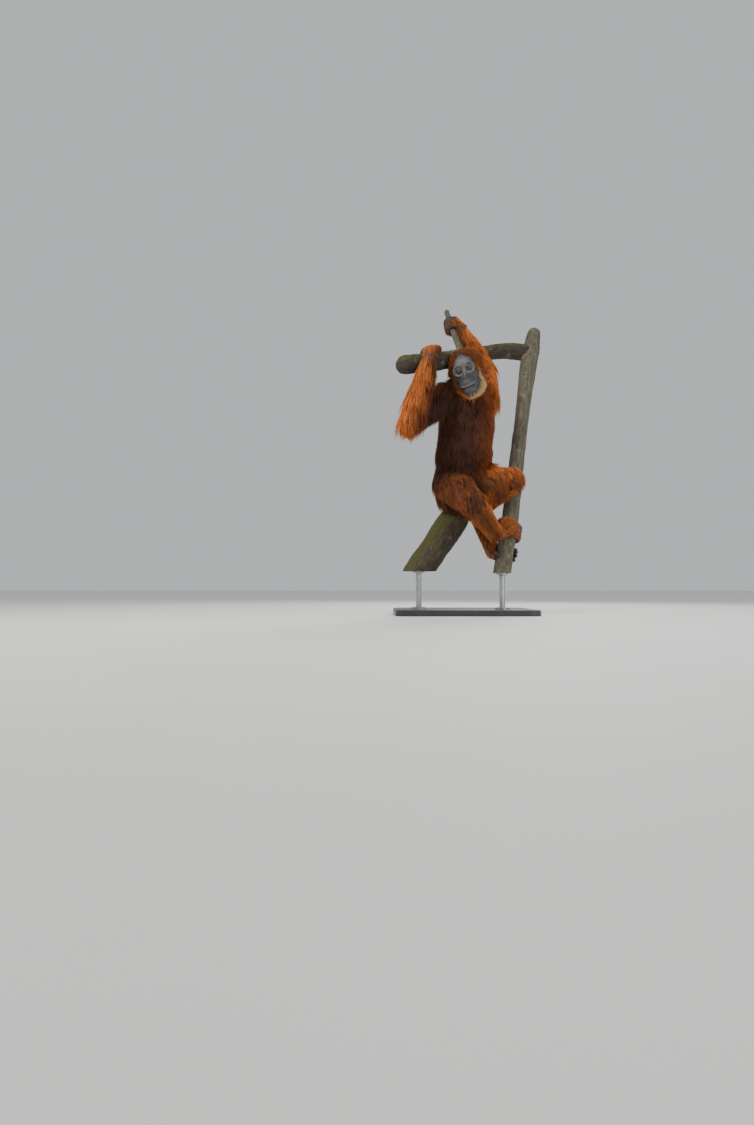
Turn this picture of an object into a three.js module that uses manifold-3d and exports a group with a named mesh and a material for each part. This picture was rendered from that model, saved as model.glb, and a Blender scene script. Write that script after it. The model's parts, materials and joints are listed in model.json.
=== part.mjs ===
// A life-size display model of a young adult female orangutan with a long coat. She sits on a thick
// climbing stem, holds a level stem with her right hand and an upright one with her left hand, behind
// her head, and grips a sapling with both feet. A flat base with two short rods carries the stems.
// Units are millimetres and +Z is up. She faces -Y, and her left side is +X.
// The origin is the middle of the base's underside.

import * as THREE from "three";
import { mergeVertices } from "three/addons/utils/BufferGeometryUtils.js";
import Module from "manifold-3d";

const wasm = await Module();
wasm.setup();

// Driving dimensions

const GAP = 0.35; // clearance between pieces that touch
const CORE = 9; // depth of the dense undercoat over the flesh
const COAT_SEED = 11; // start of the random draws that vary the locks

const at = (x, y, z) => new THREE.Vector3(x, y, z);
const UP = at(0, 0, 1);
const DOWN = at(0, 0, -1);
const SIDES = ["right", "left"];

// Places of the joints, in the row frame
const JOINT = {
  shoulder: { right: at(-78, -70, 1016), left: at(116, 70, 1033) },
  elbow: { right: at(-253, -285, 852), left: at(148, 292, 1250) },
  wrist: { right: at(-163, -210, 1148), left: at(47, 440, 1500) },
  hip: { right: at(-56, -40, 612), left: at(45, 45, 625) },
  knee: { right: at(10, -250, 503), left: at(216, -78, 622) },
  ankle: { right: at(131, -112, 378), left: at(76, 20, 486) },
};
const NECK = { low: at(24, 18, 1010), high: at(12, -70, 1072) };

// Radii of the flesh, without coat
const ARM = { shoulder: 50, middle: 45, elbow: 38, belly: 41, low: 31, wrist: 25 };
const LEG = { hip: 70, middle: 61, knee: 46, calf: 44, low: 33, ankle: 27 };
const NECK_RADIUS = 58;

// The trunk of the body, as [centre, half width, half depth, half height] in its own turned axes
const TRUNK_TURN = THREE.MathUtils.degToRad(37);
const TRUNK = [
  [at(20, 2, 985), 112, 84, 74],
  [at(24, 10, 905), 132, 102, 150],
  [at(9, -14, 765), 124, 112, 125],
  [at(-3, 12, 645), 118, 100, 92],
  [at(-16, 34, 570), 92, 84, 68],
];
const TRUNK_MIDDLE = at(12, 2, 800);
const TRUNK_BLEND = 40;

// The head: the place of the point between the eyes' line and the ears, and its turns
const HEAD_AT = at(4, -136, 1112);
const HEAD_TURN = new THREE.Euler(
  THREE.MathUtils.degToRad(13),
  THREE.MathUtils.degToRad(-15),
  THREE.MathUtils.degToRad(-17),
  "ZXY",
);
const EYE = { apart: 25, forward: -58, radius: 12, lids: at(15, 14.2, 12.5) };
const MOUTH = { halfWidth: 33, height: -86, rise: 6, depth: 5 };
const NOSTRIL = { apart: 6.5, forward: -97, height: -45, half: at(3.4, 7, 2.8) };
// The bare face: an oval seen from the front, cut out of the head back to a depth
const FACE = { halfWidth: 53, halfHeight: 91, height: -27, back: -18, sides: 22 };
const EAR = { side: 70, back: 14, up: -4, height: 21, width: 13, depth: 6 };

// Stems, as [point, radius]
const LEVEL_STEM = [
  [at(-275, -182, 1120), 43],
  [at(-205, -160, 1134), 41],
  [at(-128, -135, 1150), 42],
  [at(-58, -40, 1190), 40],
  [at(-12, 120, 1245), 41],
  [at(40, 270, 1296), 39],
  [at(140, 352, 1338), 38],
  [at(256, 348, 1352), 41],
  [at(372, 285, 1322), 44],
];
const UPRIGHT_STEM = [
  [at(40, 296, 1300), 21],
  [at(26, 380, 1400), 18],
  [at(0, 456, 1512), 17],
  [at(-22, 500, 1612), 15],
];
const SAPLING = [
  [at(168, -84, 173), 42],
  [at(185, -60, 260), 41],
  [at(210, -20, 372), 40],
  [at(240, 42, 520), 39],
  [at(273, 112, 700), 37],
  [at(308, 176, 900), 35],
  [at(340, 226, 1090), 37],
  [at(366, 262, 1240), 44],
  [at(386, 284, 1330), 43],
  [at(404, 302, 1425), 34],
];
const SEAT_STEM = [
  [at(-226, 8, 168), 64],
  [at(-188, 16, 226), 68],
  [at(-132, 32, 306), 66],
  [at(-76, 58, 388), 71],
  [at(-30, 92, 452), 69],
  [at(6, 132, 505), 58],
];

// How far above its first point a stem that stands on a rod is cut flat
const CUT = { sapling: 18, seat: 34 };

// Hands and feet
const HAND = { breadth: 78, thick: 30, finger: 9.5, reach: [92, 106, 110, 98], thumb: 52 };
const FOOT = { breadth: 74, thick: 38, finger: 9.5, reach: [92, 104, 104, 90], thumb: 44 };

// The coat's locks
const LOCK = {
  steps: 4,
  sunk: 8,
  clear: 3,
  riseAtTip: 9,
  thick: 9,
  straightest: 0.6, // a lock that would bend more than this, as a cosine, is left out
  widths: [0.8, 1, 0.8, 0.45],
};
const COAT = {
  torso: [
    { height: 935, tilt: 46, around: 7, length: 130, width: 70 },
    { height: 930, tilt: 8, around: 9, length: 160, width: 72 },
    { height: 848, tilt: 0, around: 9, length: 168, width: 74 },
    { height: 758, tilt: 0, around: 9, length: 165, width: 74 },
    { height: 662, tilt: 0, around: 9, length: 130, width: 70 },
  ],
  upper_arm: { rows: 3, around: 4, from: 0.1, to: 0.95, length: 130, width: 66, along: 0.6 },
  forearm: { rows: 3, around: 5, from: -0.04, to: 0.86, length: 135, width: 54, along: -0.5 },
  thigh: { rows: 2, around: 5, from: 0.3, to: 0.95, length: 100, width: 70, along: 0.7 },
  shank: { rows: 3, around: 4, from: 0.05, to: 0.85, length: 92, width: 56, along: 0.8 },
  head: [
    { tilt: 26, first: 30, last: 170, count: 2, length: 86, width: 52, drop: 0.6 },
    { tilt: 60, first: 52, last: 175, count: 4, length: 94, width: 48, drop: 0.8 },
    { tilt: 95, first: 60, last: 172, count: 4, length: 94, width: 46, drop: 1 },
    { tilt: 124, first: 40, last: 110, count: 2, length: 90, width: 40, drop: 1.4 },
    { tilt: 150, first: 8, last: 70, count: 2, length: 84, width: 36, drop: 1.6 },
  ],
};

// The stand
const BASE = { width: 640, depth: 520, corner: 50, height: 26, bevel: 3 };
const ROD = { radius: 13, flange: 34, flangeHeight: 8, cup: 27, cupHeight: 7, sides: 16 };

// Random draws that come out alike on each run
let drawn = COAT_SEED;
function random(low, high) {
  drawn = (drawn * 16807) % 2147483647;
  return low + ((high - low) * drawn) / 2147483647;
}

// Solids from points and faces

function solidOf(points, faces) {
  const vertProperties = new Float32Array(points.length * 3);
  points.forEach((p, i) => vertProperties.set([p.x, p.y, p.z], i * 3));
  const triVerts = new Uint32Array(faces.flat());
  return new wasm.Manifold(new wasm.Mesh({ numProp: 3, vertProperties, triVerts }));
}

function solidOfGeometry(geometry) {
  const bare = geometry.index ? geometry.toNonIndexed() : geometry.clone();
  bare.deleteAttribute("normal");
  bare.deleteAttribute("uv");
  const merged = mergeVertices(bare, 1e-3);
  const place = merged.getAttribute("position");
  const points = Array.from({ length: place.count }, (_, i) =>
    new THREE.Vector3().fromBufferAttribute(place, i),
  );
  const faces = [];
  const index = merged.index.array;
  for (let i = 0; i < index.length; i += 3) {
    const face = [index[i], index[i + 1], index[i + 2]];
    if (new Set(face).size === 3) faces.push(face);
  }
  return solidOf(points, faces);
}

function geometryOf(solid) {
  const mesh = solid.getMesh();
  const place = new Float32Array(mesh.numVert * 3);
  for (let i = 0; i < mesh.numVert; i++)
    place.set(mesh.vertProperties.subarray(i * mesh.numProp, i * mesh.numProp + 3), i * 3);
  const geometry = new THREE.BufferGeometry();
  geometry.setAttribute("position", new THREE.BufferAttribute(place, 3));
  geometry.setIndex(new THREE.BufferAttribute(new Uint32Array(mesh.triVerts), 1));
  geometry.computeVertexNormals();
  return geometry;
}

// Rings of points, joined in order and closed at each end by a fan round the ring's middle.
function loft(rings) {
  const sides = rings[0].length;
  const points = rings.flat();
  const faces = [];
  for (let i = 0; i + 1 < rings.length; i++)
    for (let j = 0; j < sides; j++) {
      const a = i * sides + j;
      const b = i * sides + ((j + 1) % sides);
      faces.push([a, b, b + sides], [a, b + sides, a + sides]);
    }
  for (const [ring, first] of [[rings[0], true], [rings[rings.length - 1], false]]) {
    const middle = ring.reduce((sum, p) => sum.add(p), at(0, 0, 0)).divideScalar(sides);
    const start = first ? 0 : (rings.length - 1) * sides;
    points.push(middle);
    for (let j = 0; j < sides; j++) {
      const a = start + j;
      const b = start + ((j + 1) % sides);
      faces.push(first ? [points.length - 1, b, a] : [points.length - 1, a, b]);
    }
  }
  return solidOf(points, faces);
}

// A ring about a middle, with half axes along two directions whose cross product points onward.
function ring(middle, across, along, halfAcross, halfAlong, sides) {
  return Array.from({ length: sides }, (_, j) => {
    const angle = (2 * Math.PI * j) / sides;
    return middle
      .clone()
      .addScaledVector(across, halfAcross * Math.cos(angle))
      .addScaledVector(along, halfAlong * Math.sin(angle));
  });
}

function squareTo(direction, hint = at(0, 0, 1)) {
  const across = new THREE.Vector3().crossVectors(hint, direction);
  if (across.length() < 1e-3) across.crossVectors(at(1, 0, 0), direction);
  across.normalize();
  return [across, new THREE.Vector3().crossVectors(direction, across)];
}

// A tube through stations of [place, radius], with its ends rounded where asked.
function tube(stations, sides, steps, { roundStart = false, roundEnd = false, grow = 0 } = {}) {
  const curve = new THREE.CatmullRomCurve3(stations.map((s) => s[0]), false, "centripetal");
  const frames = curve.computeFrenetFrames(steps, false);
  const rings = [];
  const radiusAt = (t) => {
    const place = t * (stations.length - 1);
    const i = Math.min(Math.floor(place), stations.length - 2);
    return THREE.MathUtils.lerp(stations[i][1], stations[i + 1][1], place - i) + grow;
  };
  const add = (middle, i, radius) =>
    rings.push(ring(middle, frames.normals[i], frames.binormals[i], radius, radius, sides));
  const roundings = [
    [0.94, 0.35],
    [0.72, 0.7],
  ];
  if (roundStart)
    for (const [out, share] of roundings)
      add(
        curve.getPoint(0).addScaledVector(frames.tangents[0], -out * radiusAt(0)),
        0,
        share * radiusAt(0),
      );
  for (let i = 0; i <= steps; i++) {
    const middle = curve.getPoint(i / steps);
    if (i === 0 && !roundStart) middle.addScaledVector(frames.tangents[0], -grow);
    if (i === steps && !roundEnd) middle.addScaledVector(frames.tangents[steps], grow);
    add(middle, i, radiusAt(i / steps));
  }
  if (roundEnd)
    for (const [out, share] of [...roundings].reverse())
      add(
        curve.getPoint(1).addScaledVector(frames.tangents[steps], out * radiusAt(1)),
        steps,
        share * radiusAt(1),
      );
  return loft(rings);
}

const ballShape = (width, height) => new THREE.SphereGeometry(1, width, height);

function ellipsoid(middle, half, turn, width = 16, height = 12) {
  const geometry = ballShape(width, height);
  geometry.scale(half.x, half.y, half.z);
  if (turn) geometry.applyQuaternion(turn);
  geometry.translate(middle.x, middle.y, middle.z);
  return solidOfGeometry(geometry);
}

function largest(solid) {
  const pieces = solid.decompose();
  return pieces.reduce((best, piece) => (piece.volume() > best.volume() ? piece : best));
}

const joined = (solids) => wasm.Manifold.union(solids);

// Fields: below zero inside, above zero outside

function fieldOfEllipsoid(p, middle, half) {
  const x = (p.x - middle.x) / half.x;
  const y = (p.y - middle.y) / half.y;
  const z = (p.z - middle.z) / half.z;
  const length = Math.hypot(x, y, z);
  const slope = Math.hypot(x / half.x, y / half.y, z / half.z);
  return slope < 1e-9 ? -Math.min(half.x, half.y, half.z) : (length * (length - 1)) / slope;
}

function fieldOfCapsule(p, from, to, fromRadius, toRadius) {
  const axis = to.clone().sub(from);
  const share = THREE.MathUtils.clamp(p.clone().sub(from).dot(axis) / axis.lengthSq(), 0, 1);
  const nearest = from.clone().addScaledVector(axis, share);
  return p.distanceTo(nearest) - THREE.MathUtils.lerp(fromRadius, toRadius, share);
}

// The nearer of two fields, with the crease between them rounded over a width.
function blended(a, b, width) {
  const near = Math.max(width - Math.abs(a - b), 0) / width;
  return Math.min(a, b) - (near * near * width) / 4;
}

const carved = (a, b, width) => -blended(-a, b, width);

// The trunk of the body, in turned axes

function trunkField(p) {
  let value = Infinity;
  for (const [middle, width, depth, height] of TRUNK) {
    const local = p.clone().sub(middle).applyAxisAngle(UP, -TRUNK_TURN);
    const one = fieldOfEllipsoid(local, at(0, 0, 0), at(width, depth, height));
    value = value === Infinity ? one : blended(value, one, TRUNK_BLEND);
  }
  for (const side of SIDES)
    value = blended(
      value,
      fieldOfCapsule(p, TRUNK[0][0], JOINT.shoulder[side], ARM.shoulder, ARM.shoulder - 6),
      TRUNK_BLEND,
    );
  return value;
}

// Limbs as stations of [place, radius] from the trunk outward
function between(a, b, share) {
  return a.clone().lerp(b, share);
}

function armStations(side) {
  const { shoulder, elbow, wrist } = JOINT;
  return {
    upper: [
      [shoulder[side], ARM.shoulder],
      [between(shoulder[side], elbow[side], 0.45), ARM.middle],
      [elbow[side], ARM.elbow],
    ],
    lower: [
      [elbow[side], ARM.elbow],
      [between(elbow[side], wrist[side], 0.28), ARM.belly],
      [between(elbow[side], wrist[side], 0.72), ARM.low],
      [wrist[side], ARM.wrist],
    ],
  };
}

function legStations(side) {
  const { hip, knee, ankle } = JOINT;
  return {
    upper: [
      [hip[side], LEG.hip],
      [between(hip[side], knee[side], 0.5), LEG.middle],
      [knee[side], LEG.knee],
    ],
    lower: [
      [knee[side], LEG.knee],
      [between(knee[side], ankle[side], 0.35), LEG.calf],
      [between(knee[side], ankle[side], 0.72), LEG.low],
      [ankle[side], LEG.ankle],
    ],
  };
}

const LIMBS = SIDES.flatMap((side) => [
  { name: `upper_arm_${side}`, side, stations: armStations(side).upper, bendEnd: "elbow" },
  { name: `forearm_${side}`, side, stations: armStations(side).lower, bendStart: "elbow" },
  { name: `thigh_${side}`, side, stations: legStations(side).upper, bendEnd: "knee" },
  { name: `shank_${side}`, side, stations: legStations(side).lower, bendStart: "knee" },
]);

function limbField(p, stations) {
  let value = Infinity;
  for (let i = 0; i + 1 < stations.length; i++)
    value = Math.min(
      value,
      fieldOfCapsule(p, stations[i][0], stations[i + 1][0], stations[i][1], stations[i + 1][1]),
    );
  return value;
}

// The whole body without coat, with the skull as one ellipsoid, for laying the locks over it
const headTurn = new THREE.Quaternion().setFromEuler(HEAD_TURN);
const headPoint = (p) => p.clone().applyQuaternion(headTurn).add(HEAD_AT);
const toHead = (p) => p.clone().sub(HEAD_AT).applyQuaternion(headTurn.clone().invert());

const neckField = (p) => fieldOfCapsule(p, NECK.low, NECK.high, NECK_RADIUS, NECK_RADIUS - 8);

function slopeOf(field, p, step = 2) {
  return at(
    field(at(p.x + step, p.y, p.z)) - field(at(p.x - step, p.y, p.z)),
    field(at(p.x, p.y + step, p.z)) - field(at(p.x, p.y - step, p.z)),
    field(at(p.x, p.y, p.z + step)) - field(at(p.x, p.y, p.z - step)),
  ).normalize();
}

// How far a ray from an inside point runs before it leaves the field.
function reach(field, from, direction, most) {
  let near = 0;
  let far = most;
  const steps = 40;
  for (let i = 1; i <= steps; i++) {
    const distance = (most * i) / steps;
    if (field(from.clone().addScaledVector(direction, distance)) > 0) {
      far = distance;
      break;
    }
    near = distance;
  }
  for (let i = 0; i < 14; i++) {
    const middle = (near + far) / 2;
    if (field(from.clone().addScaledVector(direction, middle)) > 0) far = middle;
    else near = middle;
  }
  return near;
}

// A ball of rays round a pole, each run out to the field: polar angles in degrees, from the pole.
function castBall(field, middle, pole, hint, polar, sides, most) {
  const [across, along] = squareTo(pole, hint);
  const points = [];
  const hit = (direction) =>
    middle.clone().addScaledVector(direction, reach(field, middle, direction, most));
  const rings = polar.map((degrees) => {
    const tilt = THREE.MathUtils.degToRad(degrees);
    return Array.from({ length: sides }, (_, j) => {
      const angle = (2 * Math.PI * j) / sides;
      const direction = pole
        .clone()
        .multiplyScalar(Math.cos(tilt))
        .addScaledVector(across, Math.sin(tilt) * Math.cos(angle))
        .addScaledVector(along, Math.sin(tilt) * Math.sin(angle));
      points.push(hit(direction));
      return points.length - 1;
    });
  });
  const faces = [];
  for (let i = 0; i + 1 < rings.length; i++)
    for (let j = 0; j < sides; j++) {
      const k = (j + 1) % sides;
      faces.push([rings[i][j], rings[i + 1][j], rings[i + 1][k]]);
      faces.push([rings[i][j], rings[i + 1][k], rings[i][k]]);
    }
  points.push(hit(pole), hit(pole.clone().negate()));
  const [top, bottom] = [points.length - 2, points.length - 1];
  for (let j = 0; j < sides; j++) {
    const k = (j + 1) % sides;
    faces.push([top, rings[0][j], rings[0][k]]);
    faces.push([bottom, rings[rings.length - 1][k], rings[rings.length - 1][j]]);
  }
  return solidOf(points, faces);
}

// The head, in its own axes: +X its left, -Y forward, +Z up, from the line between the eyes

function paired(p, part) {
  return part(at(Math.abs(p.x), p.y, p.z));
}

function headField(p) {
  const lump = (x, y, z, halfX, halfY, halfZ) =>
    fieldOfEllipsoid(p, at(x, y, z), at(halfX, halfY, halfZ));
  const pair = (x, y, z, halfX, halfY, halfZ) =>
    paired(p, (q) => fieldOfEllipsoid(q, at(x, y, z), at(halfX, halfY, halfZ)));
  let value = lump(0, 26, 26, 66, 78, 68); // braincase
  value = blended(value, lump(0, -24, 30, 50, 34, 34), 24); // forehead
  value = blended(value, lump(0, -26, -22, 48, 34, 50), 20); // middle of the face
  value = blended(value, pair(37, -26, -24, 20, 26, 32), 16); // cheeks
  value = blended(value, lump(0, -58, -70, 40, 44, 40), 18); // muzzle
  value = blended(value, lump(0, -84, -70, 33, 22, 22), 12); // upper lip
  value = blended(value, lump(0, -78, -97, 27, 20, 13), 8); // lower lip
  value = blended(value, lump(0, -46, -104, 34, 36, 24), 12); // chin
  value = blended(value, pair(34, -6, -78, 22, 36, 26), 20); // jaw
  value = blended(value, lump(0, 22, -64, 52, 50, 46), 24); // throat
  value = carved(value, pair(EYE.apart, -78, -1, 17, 18, 15), 12); // hollow of the eye
  const rim = paired(p, (q) => {
    const round = Math.hypot(q.x - EYE.apart, (q.z - 1) / 1.1) - 21;
    return Math.hypot(round, q.y + 57 - 0.12 * q.z) - 5.5;
  });
  value = blended(value, rim, 9);
  const bridge = fieldOfCapsule(p, at(0, -62, 12), at(0, -80, -38), 7, 8);
  value = blended(value, bridge, 10);
  value = blended(value, pair(7, -90, -43, 9, 8, 7), 7); // wings of the nose
  const cap = Math.max(lump(0, 28, 28, 66 + CORE, 78 + CORE, 68 + CORE), -34 - p.y + 0.25 * p.z);
  return blended(value, cap, 8);
}

const FACE_MIDDLE = at(0, -8, -22);
const HEAD_MIDDLE = at(0, 10, -8);
const HEAD_POLAR = [
  9, 17, 23, 28, 33, 37, 41, 45, 49, 53, 58, 63, 69, 76, 84, 95, 110, 130, 152,
];

// The slit of the mouth: a thin flat tube that follows the lips from corner to corner.
function mouthSlit() {
  const rings = [];
  const steps = 12;
  for (let i = 0; i <= steps; i++) {
    const share = (2 * i) / steps - 1;
    const middle = at(MOUTH.halfWidth * share, -8, MOUTH.height + MOUTH.rise * share * share);
    const forward = at(0.35 * share, -1, -0.12).normalize();
    const inner = reach(headField, middle, forward, 200) - MOUTH.depth;
    const place = middle.clone().addScaledVector(forward, inner + 6);
    const high = 1.6 * Math.sqrt(Math.max(1 - share * share, 0.05));
    rings.push(ring(place, forward.clone().negate(), UP, 10, high, 6));
  }
  return loft(rings);
}

function eyeCuts(side) {
  const middle = at(side * EYE.apart, EYE.forward, 0);
  const opening = [
    [-12, -1.5],
    [-6, 3.6],
    [1, 4.8],
    [8, 3],
    [12.5, -0.5],
    [7, -3.8],
    [0, -4.8],
    [-7, -4],
  ];
  const slice = (y) => opening.map(([x, z]) => at(middle.x + side * x, y, z));
  const rings = side > 0 ? [slice(-90), slice(EYE.forward)] : [slice(EYE.forward), slice(-90)];
  return loft(rings);
}

function headSolid(grow) {
  const skin = (p) => headField(p) - grow;
  const skull = castBall(skin, FACE_MIDDLE, at(0, -1, 0), UP, HEAD_POLAR, 34, 260);
  const added = [skull];
  const removed = [mouthSlit()];
  for (const side of [-1, 1]) {
    const eye = at(side * EYE.apart, EYE.forward, 0);
    added.push(ellipsoid(eye, EYE.lids, null, 12, 8));
    removed.push(eyeCuts(side));
    removed.push(ellipsoid(eye, at(1, 1, 1).multiplyScalar(EYE.radius + GAP), null, 12, 9));
    const nostril = at(side * NOSTRIL.apart, NOSTRIL.forward, NOSTRIL.height);
    removed.push(ellipsoid(nostril, NOSTRIL.half, null, 8, 6));
  }
  return joined(added).subtract(joined(removed));
}

// The column that cuts the bare face out of the head.
function faceColumn(grow) {
  const { halfWidth, halfHeight, height, back, sides } = FACE;
  const slice = (y) =>
    ring(at(0, y, height), at(1, 0, 0), UP, halfWidth + grow, halfHeight + grow, sides);
  return loft([slice(back + grow), slice(-200)]);
}

const faceSolid = (grow) => headSolid(grow).intersect(faceColumn(grow));

function placedOnHead(solid) {
  const matrix = new THREE.Matrix4().compose(HEAD_AT, headTurn, at(1, 1, 1));
  return solid.transform(matrix.elements);
}

function eyeSolid(side) {
  return ellipsoid(
    at(side * EYE.apart, EYE.forward, 0),
    at(1, 1, 1).multiplyScalar(EYE.radius),
    null,
    12,
    9,
  );
}

function earSolid(side, grow) {
  const turn = new THREE.Quaternion().setFromEuler(new THREE.Euler(0.12, side * 0.35, side * 0.5));
  const middle = at(side * EAR.side, EAR.back, EAR.up);
  const { depth, width, height } = EAR;
  const shell = ellipsoid(middle, at(depth + grow, width + grow, height + grow), turn, 10, 8);
  const cupAt = middle.clone().add(at(side * 5, -2, 1).applyQuaternion(turn));
  const cup = ellipsoid(cupAt, at(depth - grow, width * 0.66, height * 0.7), turn, 8, 6);
  return shell.subtract(cup);
}

// Limbs

// The plane that halves the angle at a bent joint, as its normal towards the trunk's side.
function halving(trunkEnd, joint, farEnd) {
  const inward = trunkEnd.clone().sub(joint).normalize();
  const outward = farEnd.clone().sub(joint).normalize();
  return inward.sub(outward).normalize();
}

const BENDS = {
  elbow: (side) => [JOINT.shoulder[side], JOINT.elbow[side], JOINT.wrist[side]],
  knee: (side) => [JOINT.hip[side], JOINT.knee[side], JOINT.ankle[side]],
};

function limbSolid(limb, grow) {
  const last = limb.stations.length - 1;
  const cored = limb.stations.map(([place, radius], i) => {
    const thin = limb.bendStart && i === last;
    return [place, radius + (thin ? 2 : CORE)];
  });
  if (limb.bendStart) {
    const onward = cored[last][0].clone().sub(cored[last - 1][0]).normalize();
    cored[last][0] = cored[last][0].clone().addScaledVector(onward, -GAP / 2);
  }
  const solid = tube(cored, 11, 4, { roundStart: true, roundEnd: Boolean(limb.bendEnd), grow });
  const bend = limb.bendStart || limb.bendEnd;
  const [trunkEnd, joint, farEnd] = BENDS[bend](limb.side);
  const normal = halving(trunkEnd, joint, farEnd);
  if (limb.bendStart) normal.negate();
  return solid.trimByPlane(normal.toArray(), normal.dot(joint) + GAP / 2 - grow);
}

// A hand or foot that wraps a stem

// Places round a stem: an angle from its front direction, a shift along it and a height off its skin.
function wrapOf({ middle, axis, front, radius }) {
  const forward = front.clone().addScaledVector(axis, -front.dot(axis)).normalize();
  const sideways = new THREE.Vector3().crossVectors(axis, forward);
  return (degrees, shift, height) => {
    const angle = THREE.MathUtils.degToRad(degrees);
    const out = forward
      .clone()
      .multiplyScalar(Math.cos(angle))
      .addScaledVector(sideways, Math.sin(angle));
    return middle.clone().addScaledVector(axis, shift).addScaledVector(out, radius + height);
  };
}

// A flat tube through stations of [place, half breadth, half thickness], broad along a direction.
function slab(stations, broad, sides, grow) {
  const curve = new THREE.CatmullRomCurve3(stations.map((s) => s[0]), false, "centripetal");
  const steps = (stations.length - 1) * 2;
  const rings = [];
  for (let i = 0; i <= steps; i++) {
    const t = i / steps;
    const tangent = curve.getTangent(t);
    const thick = new THREE.Vector3().crossVectors(tangent, broad).normalize();
    const wide = new THREE.Vector3().crossVectors(thick, tangent);
    const k = Math.min(Math.floor(i / 2), stations.length - 2);
    const share = i / 2 - k;
    const halfBroad = THREE.MathUtils.lerp(stations[k][1], stations[k + 1][1], share) + grow;
    const halfThick = THREE.MathUtils.lerp(stations[k][2], stations[k + 1][2], share) + grow;
    const middle = curve.getPoint(t);
    if (i === 0) middle.addScaledVector(tangent, -grow);
    if (i === steps) middle.addScaledVector(tangent, grow);
    rings.push(ring(middle, wide, thick, halfBroad, halfThick, sides));
  }
  return loft(rings);
}

function digit(places, rootRadius, tipRadius, grow) {
  const stations = places.map((place, i) => [
    place,
    THREE.MathUtils.lerp(rootRadius, tipRadius, i / (places.length - 1)),
  ]);
  return tube(stations, 6, 5, { roundEnd: true, grow });
}

// start and palmEnd are angles round the stem, turned in the direction of sense.
function gripSolid(grip, grow) {
  const { wrist, lead, wrap, sense, start, palmEnd, size, broad, shifts, thumb } = grip;
  const count = size.reach.length;
  const radius = grip.stem.radius;
  const half = size.thick / 2;
  const middleShift = (shifts[0] + shifts[count - 1]) / 2;
  const palm = [
    [wrist.clone().addScaledVector(lead, GAP / 2), grip.wristRadius, grip.wristRadius],
    [wrist.clone().addScaledVector(lead, 22), grip.wristRadius + 4, grip.wristRadius - 2],
  ];
  for (const share of [0.25, 0.65, 1]) {
    const angle = start + (palmEnd - start) * share;
    palm.push([
      wrap(sense * angle, middleShift * share, half - 2 * share),
      size.breadth / 2 - 4 * share,
      half - 4 * share,
    ]);
  }
  const pieces = [slab(palm, broad, 8, grow)];
  size.reach.forEach((length, i) => {
    const { finger } = size;
    const turnPerMm = 180 / Math.PI / (radius + finger);
    const places = [-18, 0, 0.2, 0.4, 0.6, 0.8, 1].map((share) => {
      const run = share < 0 ? share : share * length;
      return wrap(sense * (palmEnd + run * turnPerMm), shifts[i], finger + (share < 0 ? 3 : 1));
    });
    pieces.push(digit(places, finger + 0.8, finger - 2, grow));
  });
  const thumbTurn = (180 / Math.PI / (radius + 11)) * size.thumb * thumb.sense;
  const thumbPlaces = [0, 0.33, 0.66, 1].map((share) =>
    wrap(
      sense * (thumb.angle + share * thumbTurn),
      thumb.shift + thumb.spread * share,
      13 - 3 * share,
    ),
  );
  pieces.push(digit(thumbPlaces, 12, 8.5, grow));
  return joined(pieces);
}

function stemAt(stem, place) {
  const curve = new THREE.CatmullRomCurve3(stem.map((s) => s[0]), false, "centripetal");
  let best = 0;
  for (let i = 0; i <= 200; i++)
    if (curve.getPoint(i / 200).distanceTo(place) < curve.getPoint(best).distanceTo(place))
      best = i / 200;
  const index = Math.min(Math.round(best * (stem.length - 1)), stem.length - 1);
  return { middle: curve.getPoint(best), axis: curve.getTangent(best), radius: stem[index][1] };
}

function makeGrip(name, spec) {
  const stem = stemAt(spec.stem, spec.near);
  if (spec.flip) stem.axis.negate();
  const wrap = wrapOf({ ...stem, front: spec.front });
  return { name, ...spec, stem, wrap, broad: stem.axis };
}

const towards = (a, b) => b.clone().sub(a).normalize();

const GRIPS = [
  makeGrip("hand_right", {
    stem: LEVEL_STEM,
    near: at(-150, -150, 1146),
    front: at(0, -1, 0),
    flip: true,
    sense: 1,
    start: 8,
    palmEnd: 98,
    wrist: JOINT.wrist.right,
    lead: towards(JOINT.elbow.right, JOINT.wrist.right),
    wristRadius: ARM.wrist,
    size: HAND,
    shifts: [-29, -10, 10, 28],
    thumb: { angle: 30, sense: -1, shift: 40, spread: 14 },
  }),
  makeGrip("hand_left", {
    stem: UPRIGHT_STEM,
    near: at(-2, 462, 1522),
    front: at(0.8, -0.6, 0),
    flip: false,
    sense: -1,
    start: -22,
    palmEnd: 42,
    wrist: JOINT.wrist.left,
    lead: towards(JOINT.elbow.left, JOINT.wrist.left),
    wristRadius: ARM.wrist,
    size: HAND,
    shifts: [28, 10, -10, -28],
    thumb: { angle: -8, sense: -1, shift: -34, spread: -10 },
  }),
  makeGrip("foot_right", {
    stem: SAPLING,
    near: at(212, -16, 384),
    front: at(0, -1, 0),
    flip: false,
    sense: 1,
    start: -58,
    palmEnd: 34,
    wrist: JOINT.ankle.right,
    lead: towards(JOINT.knee.right, JOINT.ankle.right),
    wristRadius: LEG.ankle,
    size: FOOT,
    shifts: [26, 9, -9, -27],
    thumb: { angle: -30, sense: -1, shift: 32, spread: 12 },
  }),
  makeGrip("foot_left", {
    stem: SAPLING,
    near: at(190, -52, 296),
    front: at(-1, 0, 0),
    flip: true,
    sense: 1,
    start: -4,
    palmEnd: 52,
    wrist: JOINT.ankle.left,
    lead: towards(JOINT.knee.left, JOINT.ankle.left),
    wristRadius: LEG.ankle,
    size: FOOT,
    shifts: [-26, -9, 9, 27],
    thumb: { angle: 0, sense: -1, shift: 34, spread: 10 },
  }),
];

// Stems and stand

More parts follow.
